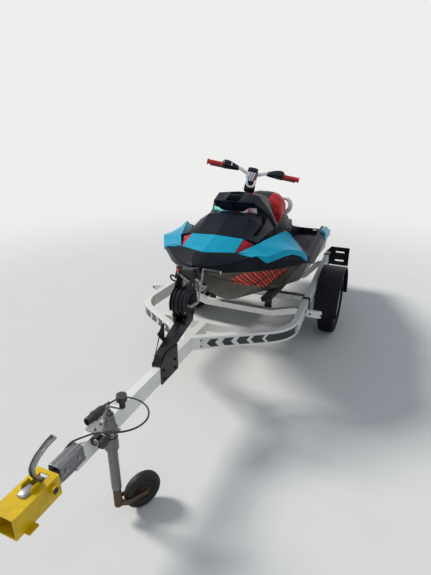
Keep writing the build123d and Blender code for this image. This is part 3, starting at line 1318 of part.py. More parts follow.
# x to port, distance ahead of the axle, height
CABLE_ROUTE = (
    (-31.0, 2690.0, 498.0), (-37.0, 2632.0, 545.0), (2.0, 2570.0, 548.0), (55.0, 2530.0, 562.0),
    (118.0, 2515.0, 570.0), (175.0, 2478.0, 566.0), (208.0, 2415.0, 560.0), (208.0, 2345.0, 556.0),
    (168.0, 2283.0, 552.0), (105.0, 2247.0, 550.0), (35.0, 2240.0, 548.0), (-22.0, 2262.0, 546.0),
    (-45.0, 2316.0, 536.0),
)
cable_points = [Vector(x, ahead(reach), z) for x, reach, z in CABLE_ROUTE]
cable_bends = []
for before, corner, after in zip(cable_points, cable_points[1:], cable_points[2:]):
    half_turn = radians((corner - before).get_angle(after - corner)) / 2
    cable_bends.append(0.45 * min((corner - before).length, (after - corner).length) / tan(half_turn))
print("cable radii", [round(bend) for bend in cable_bends])
with BuildPart() as cable:
    with BuildLine() as cable_run:
        FilletPolyline(*cable_points, radius=cable_bends)
    with BuildSketch(Plane(origin=cable_run.line @ 0, z_dir=cable_run.line % 0)):
        Circle(CABLE_RADIUS)
    sweep()
save(cable.part, "cable")

# Engine: one plain block on the bay's floor
ENGINE_HEIGHT = 300.0
with BuildPart() as engine:
    with BuildSketch(level(BAY_BOTTOM)):
        with Locations((0, BAY_FRONT + BAY_LENGTH / 2)):
            Rectangle(2 * BAY_HALF - 40, BAY_LENGTH - 120)
    extrude(amount=ENGINE_HEIGHT)
save(engine.part, "engine")

# Steering: a column with its pad, a bent bar, pods with levers, and grips
BAR_HALF = 373.0
BAR_RADIUS = 11.0
BAR_DROP = 26.0
BAR_FLAT_HALF = 45.0
BAR_KNEE = 120.0
GRIP_RADIUS = 19.0
GRIP_SPAN = 118.0
POD_LENGTH = 84.0
LEVER_LENGTH = 96.0
CLAMP_HALF = 37.0
column_top = -BAR_DROP - BAR_RADIUS - SEAT_GAP
with BuildPart() as steering_column:
    for z, width, depth, corner in (
        (column_top, 112, 66, 18), (column_top - 30, 96, 62, 18), (-COLUMN_BOTTOM, 96, 78, 24),
    ):
        with BuildSketch(on_bar(Pos(0, 0, z))):
            RectangleRounded(width, depth, corner)
    loft(ruled=True)
    with BuildSketch(on_bar(Pos(0, 0, column_top - 4))):
        RectangleRounded(2 * CLAMP_HALF, 50, 8)
    extrude(amount=4 + 2 * BAR_RADIUS + 2 * SEAT_GAP + 8)
    with BuildSketch(on_bar(Plane.YZ.offset(-CLAMP_HALF - 1).location)):
        with Locations((0, -BAR_DROP)):
            Circle(BAR_RADIUS + SEAT_GAP)
    extrude(amount=2 * CLAMP_HALF + 2, mode=Mode.SUBTRACT)
    with BuildSketch(on_bar(Pos(0, 0, -COLUMN_BOTTOM))):
        Circle(STEER_SHAFT_RADIUS)
    extrude(amount=COLUMN_BOTTOM - SHAFT_BOTTOM)
save(steering_column.part, "steering_column")

with BuildPart() as handlebar:
    with BuildLine(on_bar(Plane.XZ.location)) as bar_run:
        FilletPolyline(
            (-BAR_HALF, 0), (-BAR_KNEE, 0), (-BAR_FLAT_HALF, -BAR_DROP), (BAR_FLAT_HALF, -BAR_DROP),
            (BAR_KNEE, 0), (BAR_HALF, 0), radius=3 * BAR_RADIUS,
        )
    with BuildSketch(Plane(origin=bar_run.line @ 0, z_dir=bar_run.line % 0)):
        Circle(BAR_RADIUS)
    sweep()
save(handlebar.part, "handlebar")

with BuildPart() as grips:
    for hand_name, hand in HANDS:
        with BuildSketch(on_bar(Plane.YZ.offset(hand * (BAR_HALF + 4)).location)):
            Circle(GRIP_RADIUS + 4)
        extrude(amount=-hand * 4)
        with BuildSketch(on_bar(Plane.YZ.offset(hand * BAR_HALF).location)):
            Circle(GRIP_RADIUS)
            Circle(BAR_RADIUS + SEAT_GAP, mode=Mode.SUBTRACT)
        extrude(amount=-hand * GRIP_SPAN)
        with BuildSketch(on_bar(Plane.YZ.offset(hand * (BAR_HALF - GRIP_SPAN + 5)).location)):
            Circle(GRIP_RADIUS + 4)
            Circle(BAR_RADIUS + SEAT_GAP, mode=Mode.SUBTRACT)
        extrude(amount=-hand * 5)
save(grips.part, "grips")

# Pods: a clamp-on switch housing inside each grip, with a lever in front of the grip
pod_outer = BAR_HALF - GRIP_SPAN - 1
with BuildPart() as controls:
    for hand_name, hand in HANDS:
        with BuildSketch(on_bar(Plane.YZ.offset(hand * pod_outer).location)):
            Ellipse(38, 32)
            Circle(BAR_RADIUS + SEAT_GAP, mode=Mode.SUBTRACT)
        with BuildSketch(on_bar(Plane.YZ.offset(hand * (pod_outer - POD_LENGTH)).location)):
            Ellipse(30, 26)
            Circle(BAR_RADIUS + SEAT_GAP, mode=Mode.SUBTRACT)
        loft(ruled=True)
        with BuildSketch(on_bar(Pos(0, 0, -5))):
            with BuildLine():
                Polyline(
                    (hand * (pod_outer - 44), -26), (hand * (pod_outer - 20), -42),
                    (hand * (pod_outer + LEVER_LENGTH), -56), (hand * (pod_outer + LEVER_LENGTH), -44),
                    (hand * (pod_outer - 8), -29), close=True,
                )
            make_face()
        extrude(amount=10)
save(controls.part, "controls")

# Seat: a red bolster whose flaps come down over the pedestal, and a black seat that tapers aft
# distance to port, outline as (y behind the bow, height)
BOLSTER_SECTIONS = (
    (0.0, ((1300, 641), (1316, 790), (1395, 850), (1470, 856), (1500, 850), (1500, 641))),
    (100.0, ((1300, 641), (1314, 786), (1395, 846), (1468, 850), (1500, 843), (1500, 641))),
    (PEDESTAL_HALF, ((1298, 641), (1310, 730), (1390, 790), (1450, 802), (1500, 794), (1500, 641))),
)
FLAP_SECTIONS = (
    (PEDESTAL_HALF + SEAT_GAP,
     ((1294, 700), (1300, 566), (1312, 566), (1480, 655), (1498, 680), (1500, 790), (1430, 800), (1320, 745))),
    (PEDESTAL_HALF + 40,
     ((1322, 690), (1334, 574), (1342, 574), (1462, 664), (1484, 690), (1486, 742), (1440, 750), (1350, 725))),
)
# y behind the bow, half-width at the bottom, then shoulder, top edge and middle as (distance to port, height)
CUSHION_ROWS = (
    (1502.0, 156.0, (150, 790), (100, 842), (0, 848)),
    (1545.0, 156.0, (148, 768), (98, 820), (0, 826)),
    (1600.0, 154.0, (142, 720), (97, 750), (0, 756)),
    (1640.0, 150.0, (134, 690), (96, 716), (0, 722)),
    (1720.0, 138.0, (120, 658), (88, 680), (0, 685)),
    (1760.0, 132.0, (114, 648), (84, 666), (0, 670)),
    (1960.0, 100.0, (76, 605), (56, 618), (0, 622)),
    (2110.0, 80.0, (56, 560), (40, 572), (0, 576)),
)
TRIM_FRONT = 1500.4
TRIM_DEPTH = 36.0
# white crescent at the bolster's back: distance to port, height
TRIM_OUTLINE = ((156.6, 806), (206, 778), (236, 741), (228, 704), (186, 648), (156.6, 652))
with BuildPart() as seat_front:
    loft([panel(side(x), outline) for x, outline in BOLSTER_SECTIONS], ruled=True)
    loft([panel(side(x), outline) for x, outline in FLAP_SECTIONS], ruled=True)
    mirror(about=Plane.YZ)
save(seat_front.part, "seat_front")

with BuildPart() as seat_cushion:
    loft_stations([
        (y, half_outline([(0, pedestal_top(y) + SEAT_GAP), (bottom, pedestal_top(y) + SEAT_GAP), *upper]))
        for y, bottom, *upper in CUSHION_ROWS
    ])
save(seat_cushion.part, "seat_cushion")

with BuildPart() as seat_trim:
    for hand_name, hand in HANDS:
        with BuildSketch(station(TRIM_FRONT)):
            with BuildLine():
                Polyline(*[(hand * x, z) for x, z in TRIM_OUTLINE], close=True)
            make_face()
        extrude(amount=-TRIM_DEPTH)
save(seat_trim.part, "seat_trim")

# Jet: a pump barrel out of the transom, its impeller, a venturi and the steered nozzle
PUMP_RADIUS = 95.0
PUMP_BORE = 78.0
BARREL_END = HULL_LENGTH + 20
NOZZLE_PIVOT = HULL_LENGTH + 80
PIVOT_RADIUS = 6.0
EAR_Z = 74.0
EAR_THICKNESS = 6.0
SHAFT_RADIUS = 9.0
STATOR_HUB_RADIUS = 22.0
STATOR_VANES = 3
IMPELLER_FRONT = HULL_LENGTH - 90
IMPELLER_LENGTH = 66.0
BLADE_COUNT = 3
pump_axis = Axis(craft.from_local_coords((0, 0, PUMP_Z)), craft.y_dir)
# y behind the bow and radius: barrel, step and venturi outside, then the bore back
PUMP_PROFILE = (
    (HULL_LENGTH + SEAT_GAP, PUMP_RADIUS), (BARREL_END, PUMP_RADIUS), (BARREL_END, 54.0), (NOZZLE_PIVOT, 36.0),
    (NOZZLE_PIVOT, 31.0), (BARREL_END - 4, 48.0), (BARREL_END - 6, PUMP_BORE), (HULL_LENGTH + SEAT_GAP, PUMP_BORE),
)
with BuildPart() as pump:
    with BuildSketch(side(0)):
        with BuildLine():
            Polyline(*[(y, PUMP_Z + radius) for y, radius in PUMP_PROFILE], close=True)
        make_face()
    revolve(axis=pump_axis)
    with BuildSketch(station(HULL_LENGTH + SEAT_GAP)):
        with Locations((0, PUMP_Z)):
            with PolarLocations(0, STATOR_VANES):
                Rectangle(2 * PUMP_BORE + 2, 5)
            Circle(STATOR_HUB_RADIUS)
            Circle(SHAFT_RADIUS + RUN_CLEARANCE, mode=Mode.SUBTRACT)
    extrude(amount=-12)
    for ear_z in (PUMP_Z + EAR_Z, PUMP_Z - EAR_Z - EAR_THICKNESS):
        with BuildSketch(level(ear_z)):
            with Locations((0, (BARREL_END + NOZZLE_PIVOT) / 2)):
                Rectangle(32, NOZZLE_PIVOT - BARREL_END + 32)
            with Locations((0, NOZZLE_PIVOT)):
                Circle(PIVOT_RADIUS + RUN_CLEARANCE, mode=Mode.SUBTRACT)
        extrude(amount=EAR_THICKNESS)
save(pump.part, "pump")

with BuildPart() as impeller:
    with BuildSketch(station(IMPELLER_FRONT)):
        with Locations((0, PUMP_Z)):
            Circle(28)
            with PolarLocations(0, BLADE_COUNT):
                with Locations((45, 0)):
                    Rectangle(60, 14)
    extrude(amount=-IMPELLER_LENGTH)
    with BuildSketch(station(TUNNEL_FRONT + 6)):
        with Locations((0, PUMP_Z)):
            Circle(SHAFT_RADIUS)
    extrude(amount=-(HULL_LENGTH + 10 - TUNNEL_FRONT - 6))
save(impeller.part, "impeller")

NOZZLE_TURN = -0.6 * STEER_TURN
# y behind the pivot and radius: outside, then the bore back
nozzle_length = NOZZLE_END - NOZZLE_PIVOT
NOZZLE_PROFILE = ((0.0, 72.0), (nozzle_length, 46.0), (nozzle_length, 40.0), (0.0, 66.0))


def on_nozzle(place):
    """Plane at a place on the nozzle: z up its pivot, y back along the jet."""
    return on_craft(Pos(0, NOZZLE_PIVOT, PUMP_Z) * Rot(0, 0, NOZZLE_TURN) * place)


nozzle_plane = on_nozzle(Location())
with BuildPart() as nozzle:
    with BuildSketch(on_nozzle(Plane.YZ.location)):
        with BuildLine():
            Polyline(*NOZZLE_PROFILE, close=True)
        make_face()
    revolve(axis=Axis(nozzle_plane.origin, nozzle_plane.y_dir))
    for pin_z in (60.0, -60.0 - 20.0):
        with BuildSketch(on_nozzle(Pos(0, 0, pin_z))):
            Circle(PIVOT_RADIUS)
        extrude(amount=20)
    for boss_z in (60.0, -72.0):
        with BuildSketch(on_nozzle(Pos(0, 0, boss_z))):
            Circle(PIVOT_RADIUS + 6)
        extrude(amount=12)
save(nozzle.part, "nozzle")
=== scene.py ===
import json
import math
from functools import partialmethod

import bmesh
import bpy
import numpy as np
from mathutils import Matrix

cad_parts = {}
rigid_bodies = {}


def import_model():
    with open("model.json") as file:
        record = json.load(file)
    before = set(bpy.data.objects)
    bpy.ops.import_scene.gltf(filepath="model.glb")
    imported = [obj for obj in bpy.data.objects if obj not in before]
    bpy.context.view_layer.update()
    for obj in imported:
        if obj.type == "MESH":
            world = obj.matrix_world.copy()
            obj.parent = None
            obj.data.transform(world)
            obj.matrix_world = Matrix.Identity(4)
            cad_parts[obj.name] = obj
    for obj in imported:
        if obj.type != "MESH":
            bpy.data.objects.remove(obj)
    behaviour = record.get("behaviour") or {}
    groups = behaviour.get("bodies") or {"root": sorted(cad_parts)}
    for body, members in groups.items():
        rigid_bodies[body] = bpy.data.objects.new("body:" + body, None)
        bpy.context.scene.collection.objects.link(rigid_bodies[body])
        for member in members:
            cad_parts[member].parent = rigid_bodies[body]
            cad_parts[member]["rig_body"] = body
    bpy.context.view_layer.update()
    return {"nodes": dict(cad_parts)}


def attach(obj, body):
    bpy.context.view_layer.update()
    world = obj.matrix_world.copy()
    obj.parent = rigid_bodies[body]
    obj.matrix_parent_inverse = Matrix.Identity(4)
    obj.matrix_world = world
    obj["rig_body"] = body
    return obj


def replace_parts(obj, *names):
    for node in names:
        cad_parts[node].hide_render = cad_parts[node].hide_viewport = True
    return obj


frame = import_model()

# Camera: at eye height ahead of the coupling and to port, looking down on the bow. Its lens, place
# and angles were worked out from the photo's vanishing points.
CAMERA_LENS, CAMERA_AT = 26.984, (1.155, -2.88615, 1.887)
CAMERA_TILT, CAMERA_TURN = math.radians(67.844), math.radians(23.62)


def linked(name, data):
    """A new object in the scene."""
    made = bpy.data.objects.new(name, data)
    bpy.context.scene.collection.objects.link(made)
    return made


camera_data = bpy.data.cameras.new("camera")
camera_data.lens = CAMERA_LENS
camera = linked("camera", camera_data)
camera.location = CAMERA_AT
camera.rotation_euler = (CAMERA_TILT, 0, CAMERA_TURN)
bpy.context.scene.camera = camera

# Lighting cable: a black seven-core lead that comes out of a rubber grommet in the drawbar's side,
# loops loosely round the jockey tube and ends in a moulded plug clipped along the drawbar's edge.
AXLE_Y, CABLE_RADIUS, CABLE_LENGTH = 0.8428467, 0.0045, 0.811
# millimetres to port, ahead of the axle and up
CABLE_ROUTE = (
    (-31, 2690, 498), (-37, 2632, 545), (2, 2570, 548), (55, 2530, 562), (118, 2515, 570), (175, 2478, 566),
    (208, 2415, 560), (208, 2345, 556), (168, 2283, 552), (105, 2247, 550), (35, 2240, 548),
    (-22, 2262, 546), (-45, 2316, 536),
)
PLUG_ENDS = (-47, 2308, 537), (-52, 2472, 537)
# share of the plug's length and radius: boot, two collars, body, bayonet ring and mouth
PLUG_PROFILE = (
    (0, 0), (0, 7.8), (0.14, 9.2), (0.15, 12.2), (0.18, 12.2), (0.19, 10.2), (0.23, 10.8), (0.24, 13.8),
    (0.27, 13.8), (0.30, 17.2), (0.40, 21.8), (0.62, 22.6), (0.64, 25.8), (0.72, 25.8), (0.74, 22.6),
    (0.95, 22.2), (1, 20.6), (1, 18.6), (0.93, 18.4), (0.93, 0),
)
GROMMET_ENDS = (-25, 2692, 496), (-35.5, 2686, 500)
GROMMET_PROFILE = ((0, 0), (0, 10.2), (0.35, 10.2), (0.5, 8.5), (1, 6.2), (1, 0))


def tone(red, green, blue):
    """Screen colour, 0 to 255, as a shader's linear colour: the power 2.4 of (c + 0.055) / 1.055,
    or c / 12.92 where it is almost black."""
    parts = [c / 255 for c in (red, green, blue)]
    return (*[c / 12.92 if c < 0.04045 else ((c + 0.055) / 1.055) ** 2.4 for c in parts], 1.0)


def shade(colour, factor, lift=0.0):
    """A linear colour made darker or paler."""
    return (*[min(1, part * factor + lift) for part in colour[:3]], 1.0)


class Wire:
    """A socket of a finish. Arithmetic on it adds Math nodes, and 1 - mask works too."""

    def __init__(self, finish, socket):
        self.finish, self.socket = finish, socket

    def maths(self, operation, *others):
        """A Math node of this socket and the others."""
        return self.finish.node("ShaderNodeMath", dict(enumerate((self, *others))), {"operation": operation})

    __add__ = partialmethod(maths, "ADD")
    __sub__ = partialmethod(maths, "SUBTRACT")
    __mul__ = partialmethod(maths, "MULTIPLY")
    __truediv__ = partialmethod(maths, "DIVIDE")
    __mod__ = partialmethod(maths, "FLOORED_MODULO")
    __abs__ = partialmethod(maths, "ABSOLUTE")
    __gt__ = partialmethod(maths, "GREATER_THAN")
    __lt__ = partialmethod(maths, "LESS_THAN")

    def __rsub__(self, other):
        """other - self, as self * -1 + other."""
        return self * -1.0 + other

    def rise(self, low, high):
        """0 below low, 1 above high and smooth between them; high may be the smaller."""
        sockets = {"Value": self, "From Min": low, "From Max": high}
        return self.finish.node("ShaderNodeMapRange", sockets, {"interpolation_type": "SMOOTHSTEP"})


class Finish:
    """A procedural material on object coordinates, in metres."""

    def __init__(self, name, **sockets):
        self.material = bpy.data.materials.new(name)
        self.material.use_nodes = True
        self.tree = self.material.node_tree
        self.shader = self.tree.nodes["Principled BSDF"]
        self.set(**sockets)
        self.place = self.node("ShaderNodeTexCoord", output="Object")
        self.normal = None

    def feed(self, socket, value):
        """Links a wire to a socket, or writes a plain value there."""
        if isinstance(value, Wire):
            self.tree.links.new(value.socket, socket)
        else:
            socket.default_value = value

    def set(self, **sockets):
        """Sockets of the shader by name, with spaces written as underscores."""
        for name, value in sockets.items():
            self.feed(self.shader.inputs[name.replace("_", " ")], value)

    def node(self, kind, sockets=None, settings=None, output=0):
        """One node of a kind: the values or links of its sockets, and its settings."""
        made = self.tree.nodes.new(kind)
        for name, value in (settings or {}).items():
            setattr(made, name, value)
        for name, value in (sockets or {}).items():
            self.feed(made.inputs[name], value)
        return Wire(self, made.outputs[output])

    def axes(self, place=None):
        """The three coordinates of a place."""
        made = self.node("ShaderNodeSeparateXYZ", {0: place or self.place})
        return [Wire(self, socket) for socket in made.socket.node.outputs]

    def moved(self, place=None, location=(0, 0, 0), rotation=(0, 0, 0), scale=(1, 1, 1)):
        """A place scaled, then turned, then shifted."""
        return self.node("ShaderNodeMapping", {
            "Vector": place or self.place, "Location": location, "Rotation": rotation, "Scale": scale})

    def noise(self, scale, detail=3.0, roughness=0.5, place=None):
        """Cloudy noise from 0 to 1, with scale features to the metre."""
        return self.node("ShaderNodeTexNoise", {
            "Vector": place or self.place, "Scale": scale, "Detail": detail, "Roughness": roughness})

    def cells(self, scale, output="Distance"):
        """Cells with scale of them to the metre: the distance from each one's middle, or its colour."""
        return self.node("ShaderNodeTexVoronoi", {"Vector": self.place, "Scale": scale}, output=output)

    def mix(self, share, first, second):
        """Colour between two, by a share from 0 to 1."""
        return self.node("ShaderNodeMix", {0: share, 6: first, 7: second}, {"data_type": "RGBA"}, 2)

    def bump(self, height, depth):
        """Adds a bump that stands depth metres proud where height is 1."""
        sockets = {"Height": height, "Distance": depth, "Strength": 1.0}
        if self.normal:
            sockets["Normal"] = self.normal
        self.normal = self.node("ShaderNodeBump", sockets)
        self.set(Normal=self.normal)


def moulded(name, colour, rough=0.5, grain=0.00012, grain_scale=900.0, dust=0.25, gloss=0.5, coat=0.0):
    """Moulded plastic or rubber: fine grain, hand-sized colour drift, dust and faint scratches."""
    made = Finish(name, Specular_IOR_Level=gloss, Coat_Roughness=0.12)
    drift = made.noise(7.0, 4.0, 0.6).rise(0.3, 0.75)
    speck = made.noise(240.0, 2.0).rise(0.45, 0.8)
    drawn_out = made.moved(rotation=(0.3, 0.5, 0.6), scale=(0.12, 3.0, 1.0))
    scratch = made.noise(60.0, 2.0, place=drawn_out).rise(0.62, 0.7)
    base = made.mix(drift, colour, shade(colour, 1.22, 0.004))
    base = made.mix((drift * speck + scratch * 0.35) * dust, base, shade(colour, 0.72, 0.08))
    made.set(Base_Color=base, Roughness=drift * 0.12 + speck * 0.06 + (rough - 0.09), Coat_Weight=coat)
    made.bump(made.noise(grain_scale, 2.0) + scratch * -0.6, grain)
    return made


def put(name, mesh, finish, body="trailer", node=None):
    """A new piece with its mesh in place, riding on a body; it may stand for a CAD node."""
    made = linked(name, mesh)
    mesh.materials.clear()
    mesh.materials.append(finish.material)
    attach(made, body)
    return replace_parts(made, node) if node else made


def settled(work, mesh, steep):
    """Writes a worked mesh back, smooth but for edges whose faces meet at more than steep."""
    for face in work.faces:
        face.smooth = True
    for edge in work.edges:
        edge.smooth = edge.calc_face_angle(0) < steep
    work.to_mesh(mesh)
    work.free()
    return mesh


def shell(name, grid, around=True, along=False):
    """Mesh over a grid of points [rows, columns, 3]: columns close if around, rows if along.
    Points that fall together, as at a pole, are merged, and the faces turned outwards."""
    number = np.arange(grid[..., 0].size).reshape(grid.shape[:2])
    near = number if along else number[:-1]
    far = np.roll(number, -1, 0) if along else number[1:]
    if around:
        right = np.roll(near, -1, 1), np.roll(far, -1, 1)
    else:
        near, far, right = near[:, :-1], far[:, :-1], (near[:, 1:], far[:, 1:])
    mesh = bpy.data.meshes.new(name)
    mesh.from_pydata(grid.reshape(-1, 3), [], np.stack([near, right[0], right[1], far], -1).reshape(-1, 4))
    work = bmesh.new()
    work.from_mesh(mesh)
    bmesh.ops.remove_doubles(work, verts=work.verts, dist=1e-6)
    bmesh.ops.recalc_face_normals(work, faces=work.faces)
    return settled(work, mesh, 0.7)


def form(name, grids, finish, body="trailer", node=None):
    """A new piece of closed forms: in metres, each grid's columns go round it."""
    work = bmesh.new()
    for grid in grids:
        part = shell("part", grid)
        work.from_mesh(part)
        bpy.data.meshes.remove(part)
    mesh = bpy.data.meshes.new(name)
    work.to_mesh(mesh)
    work.free()
    return put(name, mesh, finish, body, node)


def turned(start, end, profile, count=32, wobble=None):
    """Grid of a solid of revolution between two places, in millimetres: each pair of its profile
    is a share of the way and the radius there. start + share * (end - start) + radius * wheel."""
    start, end = np.array(start, float), np.array(end, float)
    share, radius = np.array(profile, float).T
    axis = (end - start) / np.linalg.norm(end - start)
    side = np.cross(axis, (0, 0, 1) if abs(axis[2]) < 0.9 else (1, 0, 0))
    side /= np.linalg.norm(side)
    turn = np.linspace(0, 2 * math.pi, count, endpoint=False)
    wheel = np.cos(turn)[:, None] * side + np.sin(turn)[:, None] * np.cross(axis, side)
    if wobble:
        wheel *= (1 + wobble(turn))[:, None]
    return ((start + share[:, None] * (end - start))[:, None] + radius[:, None, None] * wheel) / 1000


def beside(x, ahead, z):
    """Millimetres to port, ahead of the axle and up, in millimetres of the row frame."""
    return np.array((x, 1000 * AXLE_Y - ahead, z))


def fluted(turn):
    """Twelve shallow flutes round the plug, as a share of its radius."""
    return 0.05 * np.cos(12 * turn)


black_rubber = moulded("black_rubber", tone(30, 30, 31), 0.55, 0.00008, 700.0, 0.5)
cable_curve = bpy.data.curves.new("lighting_cable", "CURVE")
cable_curve.dimensions, cable_curve.use_fill_caps = "3D", True
cable_curve.bevel_depth, cable_curve.bevel_resolution, cable_curve.resolution_u = CABLE_RADIUS, 4, 16
cable_line = cable_curve.splines.new("NURBS")
cable_line.points.add(len(CABLE_ROUTE) - 1)
for cable_point, cable_place in zip(cable_line.points, CABLE_ROUTE):
    cable_point.co = (*beside(*cable_place) / 1000, 1)
cable_line.order_u, cable_line.use_endpoint_u = 3, True
cable = put("lighting_cable", cable_curve, black_rubber, node="cable")
plug_grid = turned(beside(*PLUG_ENDS[0]), beside(*PLUG_ENDS[1]), PLUG_PROFILE, 48, fluted)
plug = form("lighting_plug", [plug_grid], black_rubber)
grommet_grid = turned(beside(*GROMMET_ENDS[0]), beside(*GROMMET_ENDS[1]), GROMMET_PROFILE)
form("cable_grommet", [grommet_grid], black_rubber)

# Trailer frame: rectangular steel tube, bent and welded, dip-galvanised and then sprayed white.
# Dust lies on its upper faces and splashes its lower ones.


def enamelled(name, colour):
    """Sprayed enamel over zinc: orange peel, chips that show the zinc, and road dirt low down."""
    made = Finish(name, Coat_Roughness=0.2, Coat_Weight=0.25)
    drift = made.noise(5.0, 5.0, 0.6).rise(0.35, 0.75)
    chip = made.noise(95.0, 3.0, 0.6).rise(0.73, 0.76)
    grit = made.noise(330.0, 2.0).rise(0.5, 0.75)
    low = made.axes()[2].rise(0.56, 0.38)
    soil = made.noise(22.0, 5.0, 0.65).rise(0.42, 0.8) * (low * 0.4 + 0.1) * (grit * 0.5 + 0.5)
    base = made.mix(soil, made.mix(drift * 0.25, colour, shade(colour, 0.85)), tone(128, 120, 102))
    made.set(Base_Color=made.mix(chip, base, tone(120, 121, 120)), Metallic=chip * 0.7,
             Roughness=soil * 0.4 + drift * 0.08 + 0.3)
    made.bump(made.noise(420.0, 1.0) - chip * 3.0, 0.00006)
    return made


def eased(node, width, finish, steep=28, segments=2):
    """A merged copy of a CAD node, its facets joined and its edges eased; it stands for the node."""
    source = frame["nodes"][node]
    mesh = source.data.copy()
    work = bmesh.new()
    work.from_mesh(mesh)
    bmesh.ops.remove_doubles(work, verts=work.verts, dist=2e-5)
    bmesh.ops.dissolve_limit(work, angle_limit=math.radians(0.6), verts=work.verts, edges=work.edges)
    settled(work, mesh, math.radians(steep))
    if "custom_normal" in mesh.attributes:
        mesh.attributes.remove(mesh.attributes["custom_normal"])
    made = put(f"{node}_eased", mesh, finish, source["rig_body"], node)
    if width:
        bevel = made.modifiers.new("edges", "BEVEL")
        bevel.width, bevel.segments, bevel.limit_method = width, segments, "ANGLE"
        bevel.angle_limit, bevel.harden_normals, bevel.use_clamp_overlap = math.radians(steep), True, True
    return made


white_enamel = enamelled("white_enamel", tone(234, 234, 230))
for node in ("drawbar", "side_rail_left", "side_rail_right", "front_crossmember", "mid_crossmember",
             "rear_crossmember"):
    eased(node, 0.003, white_enamel)

# Chevron tape: printed film along the outer faces of both rails' front runs, black arrows that
# point forward on white and grow rearwards, and end in a plain black band round the bend.
RAIL_HALF, RAIL_BEND, TAPE_LOW, TAPE_HEIGHT, TAPE_FILM = 0.0225, 0.272, 0.451, 0.07, 0.0004
RAIL_PLAN = np.array(((0.0, -0.68615), (0.590, -0.30315), (0.502, 1.57285)))
TAPE_START, TAPE_END, ARROW_PITCH, BAND_START, BAND_END = 0.075, 0.8, 0.098, 0.592, 0.79


def rail_face(start, end, count):
    """Points along a port rail's outer face, its outward direction and the run in metres: the front
    run, the bend's arc and the rear run, cut from start to end along the centre line."""
    meet, corner, tail = RAIL_PLAN
    length = np.linalg.norm(corner - meet)
    first, last = (corner - meet) / length, (tail - corner) / np.linalg.norm(tail - corner)
    sweep = math.acos(first @ last)
    bend_start = length - RAIL_BEND * math.tan(sweep / 2)
    run = np.linspace(start, end, count)
    turn = np.clip((run - bend_start) / RAIL_BEND, 0, sweep)
    cos, sin = np.cos(turn)[:, None], np.sin(turn)[:, None]
    side = np.array([-first[1], first[0]])
    straight = np.clip(run, None, bend_start)[:, None] * first + meet
    bend = RAIL_BEND * (sin * first - (cos - 1) * side)
    after = np.clip(run - bend_start - RAIL_BEND * sweep, 0, None)[:, None] * last
    outward = (cos * first + sin * side)[:, ::-1] * (1, -1)
    return straight + bend + after + outward * RAIL_HALF, outward, run


def filmed(name, points, across, along, flip=False):
    """Open mesh over a grid of points, with two numbers for each as the UV map "film"."""
    number = np.arange(points[..., 0].size).reshape(points.shape[:2])
    quads = np.stack([number[:-1, :-1], number[1:, :-1], number[1:, 1:], number[:-1, 1:]], -1).reshape(-1, 4)
    mesh = bpy.data.meshes.new(name)
    mesh.from_pydata(points.reshape(-1, 3), [], quads[:, ::-1] if flip else quads)
    uv = np.stack(np.broadcast_arrays(across, along), -1).reshape(-1, 2)
    corners = np.empty(len(mesh.loops), int)
    mesh.loops.foreach_get("vertex_index", corners)
    mesh.uv_layers.new(name="film").data.foreach_set("uv", uv[corners].ravel())
    return mesh


def walled(made, thickness, offset=-1.0):
    """Gives an open sheet its wall, on the inner side unless offset is 1."""
    wall = made.modifiers.new("wall", "SOLIDIFY")
    wall.thickness, wall.offset = thickness, offset


tape = Finish("chevron_tape", Coat_Weight=0.3)
tape_run, tape_height, _ = tape.axes(tape.node("ShaderNodeUVMap", None, {"uv_map": "film"}))
vee = abs(tape_height - 0.5) * 2.0
step = (tape_run - vee * 0.03 - 0.02) / ARROW_PITCH % 1.0
arrows = (step < (tape_run * 0.75 + 0.42).maths("MINIMUM", 0.86)) * (tape_run < BAND_START)
band = (tape_run > BAND_START) * (tape_run < BAND_END)
window = (abs(tape_run - 0.765) < 0.008) * (abs(tape_height - 0.5) < 0.3)
inked = (arrows + band) * (tape_height > 0.1) * (tape_height < 0.9) * (1 - window)
scuff = tape.noise(70.0, 4.0, 0.7).rise(0.6, 0.74)
tape_colour = tape.mix(inked, tone(214, 215, 214), tone(20, 21, 23))
tape.set(Base_Color=tape.mix(scuff * 0.35, tape_colour, tone(140, 136, 124)), Roughness=scuff * 0.3 + 0.3)
tape.bump(tape.noise(500.0, 1.0) + scuff * 0.5, 0.00004)
tape_edge, outward, run = rail_face(TAPE_START, TAPE_END, 90)
level = np.linspace(0, 1, 9)
tape_points = np.empty((len(run), len(level), 3))
tape_points[..., :2] = (tape_edge + outward * TAPE_FILM)[:, None]
tape_points[..., 2] = TAPE_LOW + TAPE_HEIGHT * level
for name, hand in (("chevrons_left", 1), ("chevrons_right", -1)):
    strip = filmed(name, tape_points * (hand, 1, 1), run[:, None], level[None], hand < 0)
    walled(put(name, strip, tape), TAPE_FILM, 1.0)

# Axle: a square rubber-torsion tube with a trailing arm and a stub at each end, left galvanised
# like the stays of the mudguards and the brackets of the marker lamps.


